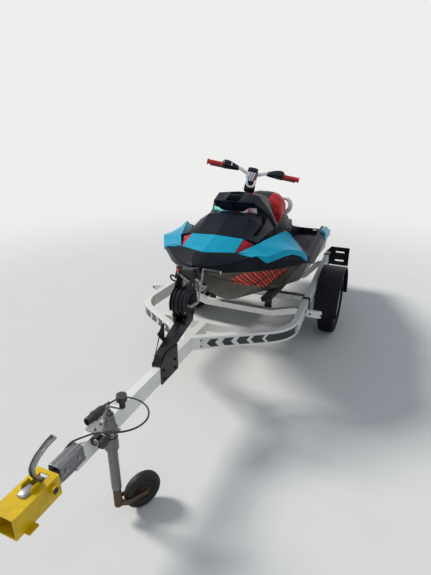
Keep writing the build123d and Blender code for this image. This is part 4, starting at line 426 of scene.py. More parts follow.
def galvanised(name, bright=0.62, dirt=0.35, rust=0.12, warm=0.0):
    """Dip-galvanised steel: spangle of grey crystals, dull oxide, brown dirt and specks of rust."""
    made = Finish(name)
    crystal, _, _ = made.axes(made.cells(110.0, "Color"))
    oxide = made.noise(18.0, 5.0, 0.65).rise(0.4, 0.72)
    soil = made.noise(46.0, 5.0, 0.7).rise(0.5, 0.78) * dirt
    red = made.noise(130.0, 4.0, 0.7).rise(0.66, 0.74) * made.noise(9.0).rise(0.48, 0.6) * rust * 4.0
    light = (bright, bright, bright * (1.01 - warm), 1)
    dark = (bright * 0.62, bright * 0.63, bright * (0.66 - warm), 1)
    base = made.mix(crystal * 0.55 + oxide * 0.35, light, dark)
    base = made.mix(red, made.mix(soil, base, tone(104, 94, 72)), tone(112, 62, 30))
    made.set(Base_Color=base, Metallic=0.82 - oxide * 0.3 - soil * 0.5,
             Roughness=oxide * 0.2 + crystal * 0.08 + soil * 0.3 + 0.3)
    made.bump(made.noise(160.0, 3.0) + crystal * 0.3, 0.00012)
    return made


zinc = galvanised("zinc", 0.5)
for node in ("axle_beam", "swing_arm_left", "swing_arm_right", "mudguard_stays", "marker_brackets"):
    eased(node, 0.0012, zinc)

# Road wheels: silver pressed-steel rims held by four zinc nuts each, and black rubber tyres with
# five ribs, sipes and moulded sidewalls.
WHEEL_X, TYRE_RADIUS, TREAD_HALF, TREAD_DEPTH, NUT_CIRCLE = 0.676, 0.281, 0.054, 0.006, 0.049
GROOVES, NUT_START, NUT_END = (-0.036, -0.0125, 0.0125, 0.036), 702, 719
NUT_PROFILE = ((0, 0), (0, 11.5), (0.75, 11.5), (0.82, 9.5), (1, 8), (1, 0))
# distance from the wheel's middle and radius: bead, rim guard, sidewall and shoulder, then the lining
TYRE_SIDE = np.array((
    (36.5, 165.3), (36.5, 167), (38, 171), (47, 173), (48, 181), (50.5, 184.5), (57.5, 193.5), (65.5, 202),
    (69.2, 210.5), (70, 211.8), (71.4, 212.5), (71.9, 219.5), (72.5, 226), (71.9, 233.5), (70.6, 242),
    (69.9, 243.2), (69.2, 250), (67.5, 257), (64, 265.5), (59.2, 271.5), (54, 275.2),
)) / 1000
TYRE_LINING = np.array(((-25.5, 165.3), (-25.5, 175), (-50, 200), (-56, 225), (-50, 258), (-30, 268))) / 1000


def tyre_grid(wheel_x, count=420, across=57):
    """Section of bead, sidewall and tread turned about the axle. The tread sinks by TREAD_DEPTH in
    four zigzag grooves and in a sipe every 6 degrees, and the shoulder in a notch every 3."""
    turn = np.linspace(0, 2 * math.pi, count, endpoint=False)
    tread_x = np.linspace(TREAD_HALF, -TREAD_HALF, across)[1:-1]
    tread = np.stack([tread_x, TYRE_RADIUS - 0.0058 * np.abs(tread_x / TREAD_HALF) ** 2.4], -1)
    section = np.concatenate([TYRE_SIDE, tread, TYRE_SIDE[::-1] * (-1, 1), TYRE_LINING,
                              TYRE_LINING[::-1] * (-1, 1)])
    x, radius = section[:, 0][None], np.repeat(section[:, 1][None], count, 0)
    zig = 0.0022 * np.sin(turn * 60)[:, None]
    grooves = [np.clip(1.35 - np.abs(x - place - zig) / 0.0028, 0, 1) for place in GROOVES]
    phase = (turn * 60 / math.pi)[:, None] % 2
    sipe = np.clip(1.4 - np.abs((phase + x * 22) % 2 - 1) / 0.16, 0, 1) * 0.45
    notch = np.clip(1.3 - np.abs(phase % 1 - 0.5) / 0.2, 0, 1) * 0.8
    notch = np.clip((np.abs(x) - 0.040) / 0.006, 0, 1) * notch
    radius = radius - TREAD_DEPTH * np.maximum.reduce([*grooves, sipe, notch]) * (radius > 0.2715)
    return np.stack([np.broadcast_to(math.copysign(1, wheel_x) * x + wheel_x, radius.shape),
                     AXLE_Y + radius * np.cos(turn)[:, None],
                     TYRE_RADIUS + radius * np.sin(turn)[:, None]], -1)


rim_silver = Finish("rim_silver", Coat_Weight=0.3, Coat_Roughness=0.2)
brake_dust = rim_silver.noise(16.0, 5.0, 0.7).rise(0.4, 0.75)
rim_silver.set(Base_Color=rim_silver.mix(brake_dust * 0.6, tone(186, 188, 190), tone(112, 104, 92)),
               Metallic=0.75 - brake_dust * 0.4, Roughness=brake_dust * 0.3 + 0.32)
rim_silver.bump(rim_silver.noise(380.0, 2.0), 0.00005)
tyre_black = moulded("tyre_black", tone(19, 21, 28), 0.72, 0.00015, 600.0, 0.3, 0.06)
nut_turn = np.radians((45, 135, 225, 315))
nut_places = 1000 * np.stack([AXLE_Y + NUT_CIRCLE * np.cos(nut_turn),
                              TYRE_RADIUS + NUT_CIRCLE * np.sin(nut_turn)], -1)
for side, hand in (("left", 1), ("right", -1)):
    eased(f"rim_{side}", 0.0012, rim_silver, steep=20)
    tyre_mesh = shell(f"tyre_{side}_treaded", tyre_grid(hand * WHEEL_X), True, True)
    put(f"tyre_{side}_treaded", tyre_mesh, tyre_black, f"wheel_{side}", f"tyre_{side}")
    nut_grids = [turned((hand * NUT_START, y, z), (hand * NUT_END, y, z), NUT_PROFILE, 6)
                 for y, z in nut_places]
    form(f"wheel_nuts_{side}", nut_grids, zinc, f"wheel_{side}")

# Mudguards and tail plates: black polyethylene guards over the wheels, and slotted black steel
# plates bolted across the rails' ends.
black_plastic = moulded("black_plastic", tone(14, 18, 28), 0.5, 0.0002, 650.0, 0.16, gloss=0.12)
black_steel = moulded("black_steel", tone(17, 19, 25), 0.34, 0.00007, 450.0, 0.14, gloss=0.22, coat=0.05)
eased("mudguards", 0.0016, black_plastic)
eased("tail_plates", 0.0008, black_steel)

# Lamps: white marker lamps with fluted lenses, two black screws each, on the front brackets, and
# red tail lamps on the backs of the tail plates.
LAMP_X, LAMP_Z, SCREW_X, SCREW_START, SCREW_END = 622, 487, (635, 717), 63.5, 60
SCREW_PROFILE = ((0, 0), (0, 8.5), (0.7, 8.5), (1, 6), (1, 2), (0.5, 1.8), (0.5, 0))
# place along the row frame of each section of a tail lamp, then half its width and height
TAIL_LAMP = ((1581.5, 78, 31), (1604, 78, 31), (1606, 75, 28), (1621, 74, 27), (1626, 69, 22))


def lens(name, colour, rib):
    """Moulded lamp lens: fine upright flutes, a clear glossy skin and a little dirt in patches."""
    made = Finish(name, Coat_Weight=0.6, Coat_Roughness=0.05, IOR=1.49)
    flute = abs(made.axes()[0] % rib / rib - 0.5) * 2.0
    soil = made.noise(35.0, 4.0).rise(0.5, 0.8)
    made.set(Base_Color=made.mix(soil * 0.35 + flute * 0.2, colour, shade(colour, 0.6)),
             Roughness=soil * 0.3 + 0.12)
    made.bump(flute, 0.0006)
    return made


def capped(grid):
    """A grid whose first and last rows are drawn to a point, so that its ends are closed."""
    ends = [np.repeat(row.mean(1, keepdims=True), grid.shape[1], 1) for row in (grid[:1], grid[-1:])]
    return np.concatenate([ends[0], grid, ends[1]])


def stations(rows, axis=0, power=2.0, count=36):
    """Closed superellipse sections square to an axis: each row gives the centre's three numbers,
    then the half width and half height. |a / width| ** power + |b / height| ** power = 1."""
    rows = np.array(rows, float)
    turn = np.linspace(0, 2 * math.pi, count, endpoint=False)
    grid = np.repeat(rows[:, None, :3], count, 1)
    first, second = [number for number in range(3) if number != axis]
    for number, size, wave in ((first, rows[:, 3:4], np.cos(turn)), (second, rows[:, 4:5], np.sin(turn))):
        grid[..., number] += size * (np.sign(wave) * np.abs(wave) ** (2 / power))
    return capped(grid)


def both(*grids):
    """Grids and their mirror images across the middle."""
    return [grid * (hand, 1, 1) for grid in grids for hand in (1, -1)]


eased("marker_lamps", 0.003, lens("marker_lens", tone(226, 228, 230), 0.006))
marker_screws = [turned((x, SCREW_START, LAMP_Z), (x, SCREW_END, LAMP_Z), SCREW_PROFILE, 16)
                 for x in SCREW_X]
form("marker_screws", both(*marker_screws), black_rubber)
lamp_grid = stations([(LAMP_X, y, LAMP_Z, wide, high) for y, wide, high in TAIL_LAMP], 1, 7, 44) / 1000
form("tail_lamp_units", both(lamp_grid), lens("tail_lens", tone(150, 14, 16), 0.008),
     node="tail_lamps")

# Coupling: a pressed galvanised shank with a curved pressed handle, and a round crown over the
# ball's cup. Its saddle is a blue-grey zinc pressing with two ridges, bolted over the drawbar.
HANDLE_LINE = ((0, -1968, 535), (0, -1995, 560), (0, -2012, 612), (0, -1975, 648), (0, -1915, 668),
               (0, -1874, 670))
HANDLE_SECTION = ((-11, -8), (-12.5, -1), (-11.5, 4), (-8, 6.5), (0, 7.2), (8, 6.5), (11.5, 4), (12.5, -1),
                  (11, -8))
SADDLE_HALF = ((-40, -62), (-35, -48), (-33, -40), (-32, -6), (-29, 3), (-22, 5.5), (-19, 5.5), (-15, 9),
               (-11, 9), (-7, 5.5))
SADDLE_LINE = [(0, y, 533) for y in (-1905, -1900, -1850, -1800, -1765, -1760)]
CROWN_X, CROWN_Z = 2, 546
CROWN = ((-2082, 12, 5), (-2078, 19, 9), (-2060, 22, 11.5), (-2034, 21.5, 11.5), (-2022, 18, 9))
BOLT_PROFILE = ((0, 0), (0, 9.5), (0.7, 9.5), (0.85, 8), (1, 6), (1, 0))
BOLT_START, BOLT_END, BOLT_Y, BOLT_Z = 32, 41, (-1872, -1795), 502
SHEET = 0.0022


def bent(points, turns=4):
    """Points cut at their corners again and again, a quarter of each run, which nears a smooth
    quadratic curve; the ends stay."""
    points = np.array(points, float)
    for _ in range(turns):
        near, far = points[:-1], points[1:]
        cut = np.stack([0.75 * near + 0.25 * far, 0.25 * near + 0.75 * far], 1)
        points = np.concatenate([points[:1], cut.reshape(-1, points.shape[1]), points[-1:]])
    return points


def pressing(name, grid, finish, thickness=SHEET, node=None):
    """A piece of pressed sheet over an open grid."""
    walled(put(name, shell(name, grid, False), finish, node=node), thickness)


def swept(path, outline, up=(0, 0, 1), scale=1.0):
    """Grid of an outline of (side, up) points carried along a path: each point of the path plus
    scale times side along the vector out and up along the other, both square to the path."""
    path, outline = np.array(path, float), np.array(outline, float)
    run = np.gradient(path, axis=0)
    run /= np.linalg.norm(run, axis=1)[:, None]
    out = np.cross(run, np.array(up, float))
    out /= np.linalg.norm(out, axis=1)[:, None]
    offset = outline[None, :, :1] * out[:, None] + outline[None, :, 1:] * np.cross(out, run)[:, None]
    return path[:, None] + np.broadcast_to(scale, len(path))[:, None, None] * offset


shank_zinc = galvanised("shank_zinc", 0.34, 0.2, 0.05, -0.03)
eased("coupling", 0.0015, shank_zinc)
handle_line = bent(HANDLE_LINE)
handle_share = np.linspace(0, 1, len(handle_line))
handle_scale = (0.9 + 0.3 * handle_share) * np.sqrt(np.clip((1.004 - handle_share) / 0.07, 0, 1))
handle_grid = swept(handle_line, HANDLE_SECTION, (0, 1, -0.2), handle_scale) / 1000
pressing("lever_pressing", handle_grid, shank_zinc, node="coupling_handle")
saddle_section = SADDLE_HALF + tuple((-side, up) for side, up in SADDLE_HALF[::-1])
saddle_grid = swept(SADDLE_LINE, saddle_section, (0, 0, 1), (0.97, 1, 1, 1, 1, 0.97)) / 1000
pressing("shank_saddle", saddle_grid, galvanised("saddle_zinc", 0.24, 0.15, 0.03, -0.05))
shank_bolts = [turned((BOLT_START, y, BOLT_Z), (BOLT_END, y, BOLT_Z), BOLT_PROFILE, 6) for y in BOLT_Y]
form("shank_bolts", both(*shank_bolts), shank_zinc)
crown_grid = stations([(CROWN_X, y, CROWN_Z, wide, high) for y, wide, high in CROWN], 1, 3.2) / 1000
form("coupling_crown", [crown_grid], shank_zinc)

# Coupling lock: a box of folded steel sheet in yellow paint, scuffed and dusty, with the black face
# of its key cylinder on the port side.
LOCK_FACE_ENDS = (76.5, -1980.2, 514.7), (80, -1980.2, 514.7)
LOCK_FACE = ((0, 0), (0, 13.5), (0.8, 13.5), (1, 11.5), (1, 3.5), (0.4, 3), (0.4, 0))
yellow_paint = Finish("yellow_paint", Coat_Weight=0.1, Coat_Roughness=0.2, Specular_IOR_Level=0.3)
fade = yellow_paint.noise(9.0, 4.0, 0.6).rise(0.3, 0.7)
scrape = yellow_paint.noise(75.0, 4.0, 0.65, yellow_paint.moved(scale=(1, 0.3, 1))).rise(0.66, 0.7)
soil = yellow_paint.noise(30.0, 5.0, 0.7).rise(0.5, 0.8)
yellow = yellow_paint.mix(fade, tone(232, 194, 0), tone(208, 170, 0))
yellow = yellow_paint.mix(soil * 0.35, yellow, tone(118, 98, 34))
yellow_paint.set(Base_Color=yellow_paint.mix(scrape * 0.8, yellow, tone(92, 80, 48)),
                 Roughness=soil * 0.25 + scrape * 0.2 + 0.34)
yellow_paint.bump(yellow_paint.noise(400.0, 1.0) - scrape * 2.0, 0.00006)
eased("coupling_lock", 0.0014, yellow_paint)
form("lock_cylinder", [turned(*LOCK_FACE_ENDS, LOCK_FACE)], black_rubber)

# Jockey wheel: a zinc tube with a turned collar and a black crank knob, a rusty leg and fork, and a
# solid black tyre on a dished hub. Its axle stands askew, along JOCKEY_HALF_AXLE.
JOCKEY_X, JOCKEY_Y, JOCKEY_WHEEL_AT = 85, -1637.15, np.array((148.379, -1517.955, 100))
JOCKEY_HALF_AXLE = np.array((0.882948, -0.469472, 0)) * 25
# share of the width, radius: hub boss, dished web, bead and round tread, the same on both sides
JOCKEY_HALF = ((0.08, 0), (0.08, 11), (0.01, 13), (0.01, 24), (0.06, 27), (0.2, 30), (0.24, 56), (0.1, 62),
               (0.02, 68), (0, 74), (0, 80), (0.03, 87), (0.1, 93.5), (0.2, 97.5), (0.33, 99.5), (0.45, 100))
COLLAR_LOW, COLLAR_HIGH, KNOB_Y, KNOB_LOW, KNOB_HIGH = 550, 612, -1533.2, 598.5, 672.2
COLLAR_PROFILE = ((0, 20), (0, 34.5), (0.2, 35.5), (0.3, 33), (0.38, 28.5), (0.8, 27.5), (0.9, 26.2),
                  (1, 25.5), (1, 20))
KNOB_PROFILE = ((0, 0), (0, 14.6), (0.42, 15.2), (0.5, 23), (0.57, 26.2), (0.86, 26.2), (0.95, 24.2),
                (1, 20), (1, 0))
tube_zinc = galvanised("tube_zinc", 0.2, 0.5, 0.2, 0.02)
rusty_steel = moulded("rusty_steel", tone(86, 64, 46), 0.62, 0.0005, 260.0, 0.9, gloss=0.25)
for finish, nodes in ((tube_zinc, ("jockey_clamp", "jockey_tube", "jockey_crank")),
                      (rusty_steel, ("jockey_leg", "jockey_fork"))):
    for node in nodes:
        eased(node, 0.0008, finish)
jockey_profile = JOCKEY_HALF + tuple((1 - share, radius) for share, radius in JOCKEY_HALF[::-1])
jockey_ends = JOCKEY_WHEEL_AT - JOCKEY_HALF_AXLE, JOCKEY_WHEEL_AT + JOCKEY_HALF_AXLE
jockey_grid = turned(*jockey_ends, jockey_profile, 72)
jockey_rubber = moulded("jockey_rubber", tone(26, 24, 23), 0.6, 0.00015, 500.0, 0.8, 0.3)
form("jockey_tyre", [jockey_grid], jockey_rubber, "jockey_wheel", "jockey_wheel")
collar_ends = (JOCKEY_X, JOCKEY_Y, COLLAR_LOW), (JOCKEY_X, JOCKEY_Y, COLLAR_HIGH)
collar_grid = turned(*collar_ends, COLLAR_PROFILE, 40)
form("jockey_collar", [collar_grid], tube_zinc)
knob_grid = turned((JOCKEY_X, KNOB_Y, KNOB_LOW), (JOCKEY_X, KNOB_Y, KNOB_HIGH), KNOB_PROFILE)
form("jockey_knob", [knob_grid], black_rubber)

# Jockey clamp's fittings: two rubber blocks, a bent wire lever between them, and a zinc plate with
# four hexagon bolts across the drawbar's top.
CLAMP_ARM = ((58, -1712, 522), (58, -1716, 541), (66, -1717, 546), (74, -1716, 541), (74, -1712, 522))
CLAMP_BLOCKS = ((46, 522, 14), (84, 518, 16))
CLAMP_PLATE = [(x, JOCKEY_Y, 536.5, 34, 3.5) for x in (-31, -29, 118, 120)]


def ring(radius, count=24):
    """Circle of points as (side, up)."""
    turn = np.linspace(0, 2 * math.pi, count, endpoint=False)
    return np.stack([radius * np.cos(turn), radius * np.sin(turn)], -1)


block_grids = [stations([(x, y, z, half, 19) for y in (-1712, -1708, -1672, -1668)], 1, 5) / 1000
               for x, z, half in CLAMP_BLOCKS]
form("clamp_blocks", block_grids, black_rubber)
arm_grid = capped(swept(bent(CLAMP_ARM), ring(4.5, 14), (0, -1, 0.1))) / 1000
form("clamp_lever", [arm_grid], shank_zinc)
plate_bolts = [turned((x, JOCKEY_Y + side, 538), (x, JOCKEY_Y + side, 550), BOLT_PROFILE, 6)
               for x, side in ((12, -22), (12, 22), (108, -18), (108, 18))]
form("clamp_plate", [stations(CLAMP_PLATE, 0, 9) / 1000, *plate_bolts], shank_zinc)

# Winch: a black pressed-steel post with a ribbed cover between its cheeks, lugs and bolts, a drum
# with a toothed gear and a zinc crank. The roots of the cheeks are drawn up on a copy of the mesh.
HOUSING_Y, HOUSING_Z, COVER_RADIUS, COVER_HALF, RIB_HEIGHT = -0.7397, 0.806, 0.083, 0.0415, 0.010
CHEEK_ROOT_TOP, CHEEK_ROOT_LOW, CHEEK_X, DRUM_Y, DRUM_Z = 0.77, 0.6, 0.040, -702.153, 800
LUG_ROWS = [(33.5, y, 700, 9.5, 24) for y in (-800, -796, -700, -696)]
LUG_BOLTS, LUG_BOLT_START, LUG_BOLT_END = ((-785, 728), (-712, 728), (-748, 880)), 46.5, 55.5
GEAR_START, GEAR_END = 48.2, 54.5
GEAR_PROFILE = ((0, 0), (0, 44), (1, 44), (1, 30), (0.5, 28), (0.5, 16), (1, 14), (1, 0))


def points_of(mesh):
    """The places of a mesh's vertices."""
    points = np.empty(len(mesh.vertices) * 3)
    mesh.vertices.foreach_get("co", points)
    return points.reshape(-1, 3)


def toothed(turn):
    """Thirty square teeth, as a share of the gear's radius."""
    return 0.045 * np.clip(4 * np.sin(30 * turn), -1, 1)


post = eased("winch_post", 0.001, black_steel)
post_points = points_of(post.data)
root = (post_points[:, 2] < CHEEK_ROOT_TOP) & (post_points[:, 2] > CHEEK_ROOT_LOW)
root &= np.abs(post_points[:, 0]) > CHEEK_X
post_points[root, 2] = CHEEK_ROOT_TOP - (CHEEK_ROOT_TOP - post_points[root, 2]) * 0.55
post_points[root, 1] = HOUSING_Y + (post_points[root, 1] - HOUSING_Y) * 0.7
post.data.vertices.foreach_set("co", post_points.ravel())
cover_x = np.linspace(-COVER_HALF, COVER_HALF, 49)
ribs = np.clip(1.6 - np.abs((np.abs(cover_x)[:, None] - np.array((0.0, 0.0295))) / 0.0065), 0, 1).max(1)
cover_turn = np.radians(np.linspace(72, 268, 64))[:, None]
cover_radius = COVER_RADIUS + RIB_HEIGHT * ribs
cover_grid = np.stack(np.broadcast_arrays(cover_x[None], HOUSING_Y + np.cos(cover_turn) * cover_radius,
                                          HOUSING_Z + np.sin(cover_turn) * cover_radius), -1)
pressing("winch_cover", cover_grid, black_steel, 0.0025)
lug_grids = [stations(LUG_ROWS, 1, 7) / 1000]
lug_grids += [turned((LUG_BOLT_START, y, z), (LUG_BOLT_END, y, z), BOLT_PROFILE, 6) for y, z in LUG_BOLTS]
form("winch_lugs", both(*lug_grids), black_steel)
gear_ends = (GEAR_START, DRUM_Y, DRUM_Z), (GEAR_END, DRUM_Y, DRUM_Z)
gear_grid = turned(*gear_ends, GEAR_PROFILE, 240, toothed)
form("winch_gear", [gear_grid], black_steel, "winch_drum")
eased("winch_drum", 0.001, black_steel)
eased("winch_crank", 0.0012, zinc)

# Crank grip: a black rubber sleeve, waisted between its end flanges, that turns on the crank's pin
# under a riveted zinc cap.
GRIP_Y, GRIP_Z, GRIP_START, GRIP_END, CAP_START, CAP_END = -605.15, 976, 81, 190, 189.5, 197.5
CRANK_GRIP = ((0, 0), (0, 10.5), (0.03, 13), (0.09, 12.8), (0.1, 10.5), (0.3, 11.8), (0.5, 12.4), (0.7, 11.8),
              (0.9, 10.5), (0.91, 12.8), (0.97, 12.8), (1, 10.5), (1, 0))
grip_grid = turned((GRIP_START, GRIP_Y, GRIP_Z), (GRIP_END, GRIP_Y, GRIP_Z), CRANK_GRIP)
form("crank_handgrip", [grip_grid], black_rubber, "winch_crank", "crank_grip")
cap_grid = turned((CAP_START, GRIP_Y, GRIP_Z), (CAP_END, GRIP_Y, GRIP_Z), BOLT_PROFILE, 24)
form("grip_cap", [cap_grid], zinc, "winch_crank")

# Bow stop: a black rubber block on the winch post, with a ball knob on an orange sleeve, a black
# wire loop and a pale zinc bar beside it.
STOP_KNOB_ENDS, SLEEVE_ENDS = ((-56, -678, 988), (-56, -678, 1019)), ((-55, -678, 958), (-55, -678, 992))
STOP_BAR = [(x, -704, 938.5 - x * 0.6, 3.5, 10.5) for x in (-53, -51, 47, 49)]
KNOB_BALL = [(0.5 - 0.5 * math.cos(angle), 18.5 * math.sin(angle)) for angle in np.linspace(0, math.pi, 13)]
SLEEVE_PROFILE = ((0, 0), (0, 14), (0.08, 15.5), (0.6, 15.5), (1, 12), (1, 0))
LOOP_LINE = ((-52, -706, 938), (-68, -716, 953), (-88, -720, 962), (-97, -720, 948), (-86, -716, 925),
             (-64, -708, 916), (-50, -704, 922))
eased("bow_stop", 0.004, black_rubber, segments=3)
form("stop_knob", [turned(*STOP_KNOB_ENDS, KNOB_BALL, 24)], black_rubber)
form("stop_sleeve", [turned(*SLEEVE_ENDS, SLEEVE_PROFILE, 24)],
     moulded("orange_rubber", tone(214, 74, 48), 0.5, 0.0001, 500.0, 0.2))
loop_grid = capped(swept(bent(LOOP_LINE), ring(5.2, 12), (0, -1, 0.1))) / 1000
form("stop_loop", [loop_grid], black_steel)
form("stop_bar", [stations(STOP_BAR, 0, 5) / 1000], shank_zinc)

# Winch strap: flat polyester webbing, wound on the drum and run to the zinc bow eye, its warp cords
# and weft ribs in the weave.
webbing = Finish("webbing", Specular_IOR_Level=0.3, Roughness=0.85)
rib = webbing.node("ShaderNodeTexWave", {"Vector": webbing.place, "Scale": 160.0},
                   {"wave_type": "BANDS", "bands_direction": "Z"})
cord_row = abs(webbing.axes()[0] % 0.004 / 0.004 - 0.5) * 2.0
fray = webbing.noise(40.0, 4.0).rise(0.4, 0.75)
webbing.set(Base_Color=webbing.mix(fray * 0.5 + rib * 0.2, tone(112, 106, 92), tone(80, 74, 62)))
webbing.bump(rib * 0.6 + cord_row * 0.6, 0.0005)
eased("strap_coil", 0.001, webbing)
eased("winch_strap", 0.0008, webbing)
eased("bow_eye", 0, zinc)

# Bunks: boards wrapped in black carpet of a short pile, which carry the hull. They stand on black
# steel posts that are banded to the rails.
carpet = Finish("carpet", Roughness=0.95, Specular_IOR_Level=0.15, Sheen_Weight=0.3)
pile = carpet.noise(900.0, 3.0, 0.7)
tuft = carpet.noise(120.0, 3.0).rise(0.35, 0.7)
carpet.set(Base_Color=carpet.mix(pile * 0.6 + tuft * 0.4, tone(16, 16, 18), tone(58, 58, 60)))
carpet.bump(pile + tuft * 0.5, 0.0014)
eased("bunks", 0.008, carpet, segments=3)
eased("bunk_posts", 0.0008, black_steel)

# Hull: a moulded shell of dark grey composite with a glossy skin. The print on its bow is plain
# slanting bars of orange-red, wide and narrow by turns, on black, within five straight edges.
CRAFT_TILT, CRAFT_Y, CRAFT_Z = math.radians(4.5), AXLE_Y - 1.472, 0.4915
# the print's bars, its ends behind the bow, and the slope and height at the bow of its other edges
BARS_SLANT, BARS_PITCH, PRINT_START, PRINT_END = 0.6, 0.033, 0.15, 0.605
PRINT_TOP, PRINT_FOOT, PRINT_NOSE = (-0.0592, 0.447), (-0.311, 0.418), (-0.78, 0.556)
hull_skin = Finish("hull_skin", Coat_Roughness=0.1, Coat_Weight=0.05, Specular_IOR_Level=0.2)
drift = hull_skin.noise(3.0, 4.0, 0.6).rise(0.3, 0.7)
rub = hull_skin.noise(30.0, 4.0, 0.7, hull_skin.moved(scale=(1, 0.08, 1))).rise(0.62, 0.72)
# metres behind the bow and up from the keel line, as the craft is tilted
_, behind, up = hull_skin.axes(hull_skin.moved(
    hull_skin.moved(location=(0, -CRAFT_Y, -CRAFT_Z)), rotation=(CRAFT_TILT, 0, 0)))
inside = (behind > PRINT_START) * (behind < PRINT_END) * (up < behind * PRINT_TOP[0] + PRINT_TOP[1])
for slope, height in (PRINT_FOOT, PRINT_NOSE):
    inside = inside * (up > behind * slope + height)
bars = (behind * BARS_SLANT + up) / BARS_PITCH % 1.0
wide = bars.rise(0.06, 0.10) * bars.rise(0.42, 0.38)
thin = bars.rise(0.62, 0.66) * bars.rise(0.82, 0.78)
cross = abs((behind - up * 0.55 - 0.215) / 0.11 - 0.5) * 2.0
bars = (wide + thin) * cross.rise(0.22, 0.25) * behind.rise(0.215, 0.22) * behind.rise(0.575, 0.57)
worn = hull_skin.noise(50.0, 4.0, 0.7).rise(0.64, 0.74)
printed = hull_skin.mix(bars * (1 - worn * 0.5), tone(8, 8, 9), tone(222, 58, 34))
# The composite's own dark grey, warmed brown by painted bounce light from the ground.
hull_grey_and_warm_bounce = hull_skin.mix(drift, tone(50, 45, 36), tone(60, 54, 43))
hull_grey_and_warm_bounce = hull_skin.mix(rub * 0.4, hull_grey_and_warm_bounce, tone(104, 100, 92))
hull_skin.set(Base_Color=hull_skin.mix(inside, hull_grey_and_warm_bounce, printed), Roughness=rub * 0.25 + drift * 0.1 + 0.28)
hull_skin.bump(hull_skin.noise(240.0, 2.0) * 0.5 + rub, 0.00006)
eased("hull", 0.003, hull_skin, steep=14)

# Deck: dark charcoal composite with a fine grain, bonded to the hull. The hood is the same in a
# glossier black, and the glovebox lid is let into the seat's pedestal.
deck_plastic = moulded("deck_plastic", tone(19, 23, 32), 0.44, 0.00016, 700.0, 0.09, gloss=0.06)
gloss_black = moulded("gloss_black", tone(13, 19, 32), 0.38, 0.00005, 500.0, 0.05, gloss=0.08)
eased("deck", 0.004, deck_plastic, steep=14, segments=3)
eased("hood", 0.004, gloss_black, steep=10, segments=3)
eased("glovebox_lid", 0.002, deck_plastic)

# Cowl: a gloss black shield in front of the bars. It draws in towards the seat, so its rear half
# shows the bolster beside it. Screwed down on the console, with two cheeks beside its small dash.
COWL_KEEP, COWL_DRAWN, COWL_CUTS = 140.0, 0.12, range(830, 1290, 30)
CHEEK_EDGES, CHEEK_BACK, CHEEK_FOOT = (50.0, 90.0), 768, 832


def on_craft(points):
    """Millimetres to port, behind the bow and up, square to the keel, in metres of the row frame."""
    across, behind, up = np.moveaxis(np.asarray(points, float) / 1000, -1, 0)
    cos, sin = math.cos(CRAFT_TILT), math.sin(CRAFT_TILT)
    return np.stack([across, CRAFT_Y + behind * cos + up * sin, CRAFT_Z - behind * sin + up * cos], -1)


def off_craft(points):
    """The way back: metres of the row frame to millimetres of the craft."""
    across, along, up = np.moveaxis(np.asarray(points, float), -1, 0)
    along, up = along - CRAFT_Y, up - CRAFT_Z
    cos, sin = math.cos(CRAFT_TILT), math.sin(CRAFT_TILT)
    return np.stack([across, along * cos - up * sin, along * sin + up * cos], -1) * 1000


def smooth(value, low, high):
    """0 below low and 1 above high. Between them, share * share * (3 - 2 * share)."""
    share = np.clip((value - low) / (high - low), 0, 1)
    return share * share * (3 - 2 * share)


cowl = eased("cowl", 0.005, gloss_black, steep=10, segments=3)
work = bmesh.new()
work.from_mesh(cowl.data)
for cut in COWL_CUTS:
    plane = on_craft([(0, cut, 700), (0, cut + 1, 700)])
    bmesh.ops.bisect_plane(work, geom=work.verts[:] + work.edges[:] + work.faces[:], dist=1e-5,
                           plane_co=plane[0], plane_no=plane[1] - plane[0])
for face in work.faces:
    face.smooth = True
work.to_mesh(cowl.data)
work.free()
cowl_points = off_craft(points_of(cowl.data))
drawn = (1 - COWL_DRAWN) * smooth(cowl_points[:, 1], 820, 1180)
outer = np.clip(np.abs(cowl_points[:, 0]) - COWL_KEEP, 0, None)
cowl_points[:, 0] -= np.sign(cowl_points[:, 0]) * outer * drawn
cowl.data.vertices.foreach_set("co", on_craft(cowl_points).ravel())
cheek_rows = []
for across in CHEEK_EDGES:
    share = across / 157
    lip_y, lip_z, top_y, top_z = 587 + 65 * share, 846 - 8 * share, 737 + 10 * share, 905 - 19 * share
    cheek_rows.append([(across, y, z) for y, z in (
        (lip_y, lip_z), (top_y, top_z), (CHEEK_BACK, top_z - 1), (CHEEK_BACK, CHEEK_FOOT),
        (lip_y + 16, CHEEK_FOOT))])
form("dash_cheeks", both(on_craft(capped(np.array(cheek_rows)))), gloss_black)

# Footwell mats: ribbed blue-grey foam, glued down on the floor of each footwell. Shade in the
# grooves between the ribs is painted into its colour.
MAT_START, MAT_END, MAT_LIFT, MAT_EDGE, MAT_TOP = 1325, 2280, 0.2, 3.4, 5.0
FOOT_FLOOR, FOOT_FALL = 463.0, 155.0 / 2620.0
# millimetres behind the bow, then to the mat's inner and outer edge
MAT_ROWS = ((1325, 225, 488), (1335, 205, 498), (1500, 184, 480), (1600, 184, 470), (1800, 172, 445),
            (2000, 152, 420), (2150, 132, 404), (2270, 128, 372), (2280, 140, 360))
mat_foam = Finish("mat_foam", Specular_IOR_Level=0.15)
mat_rib = abs(mat_foam.axes()[1] % 0.014 / 0.014 - 0.5) * 2.0
mat_dust = mat_foam.noise(25.0, 5.0, 0.7).rise(0.42, 0.8)
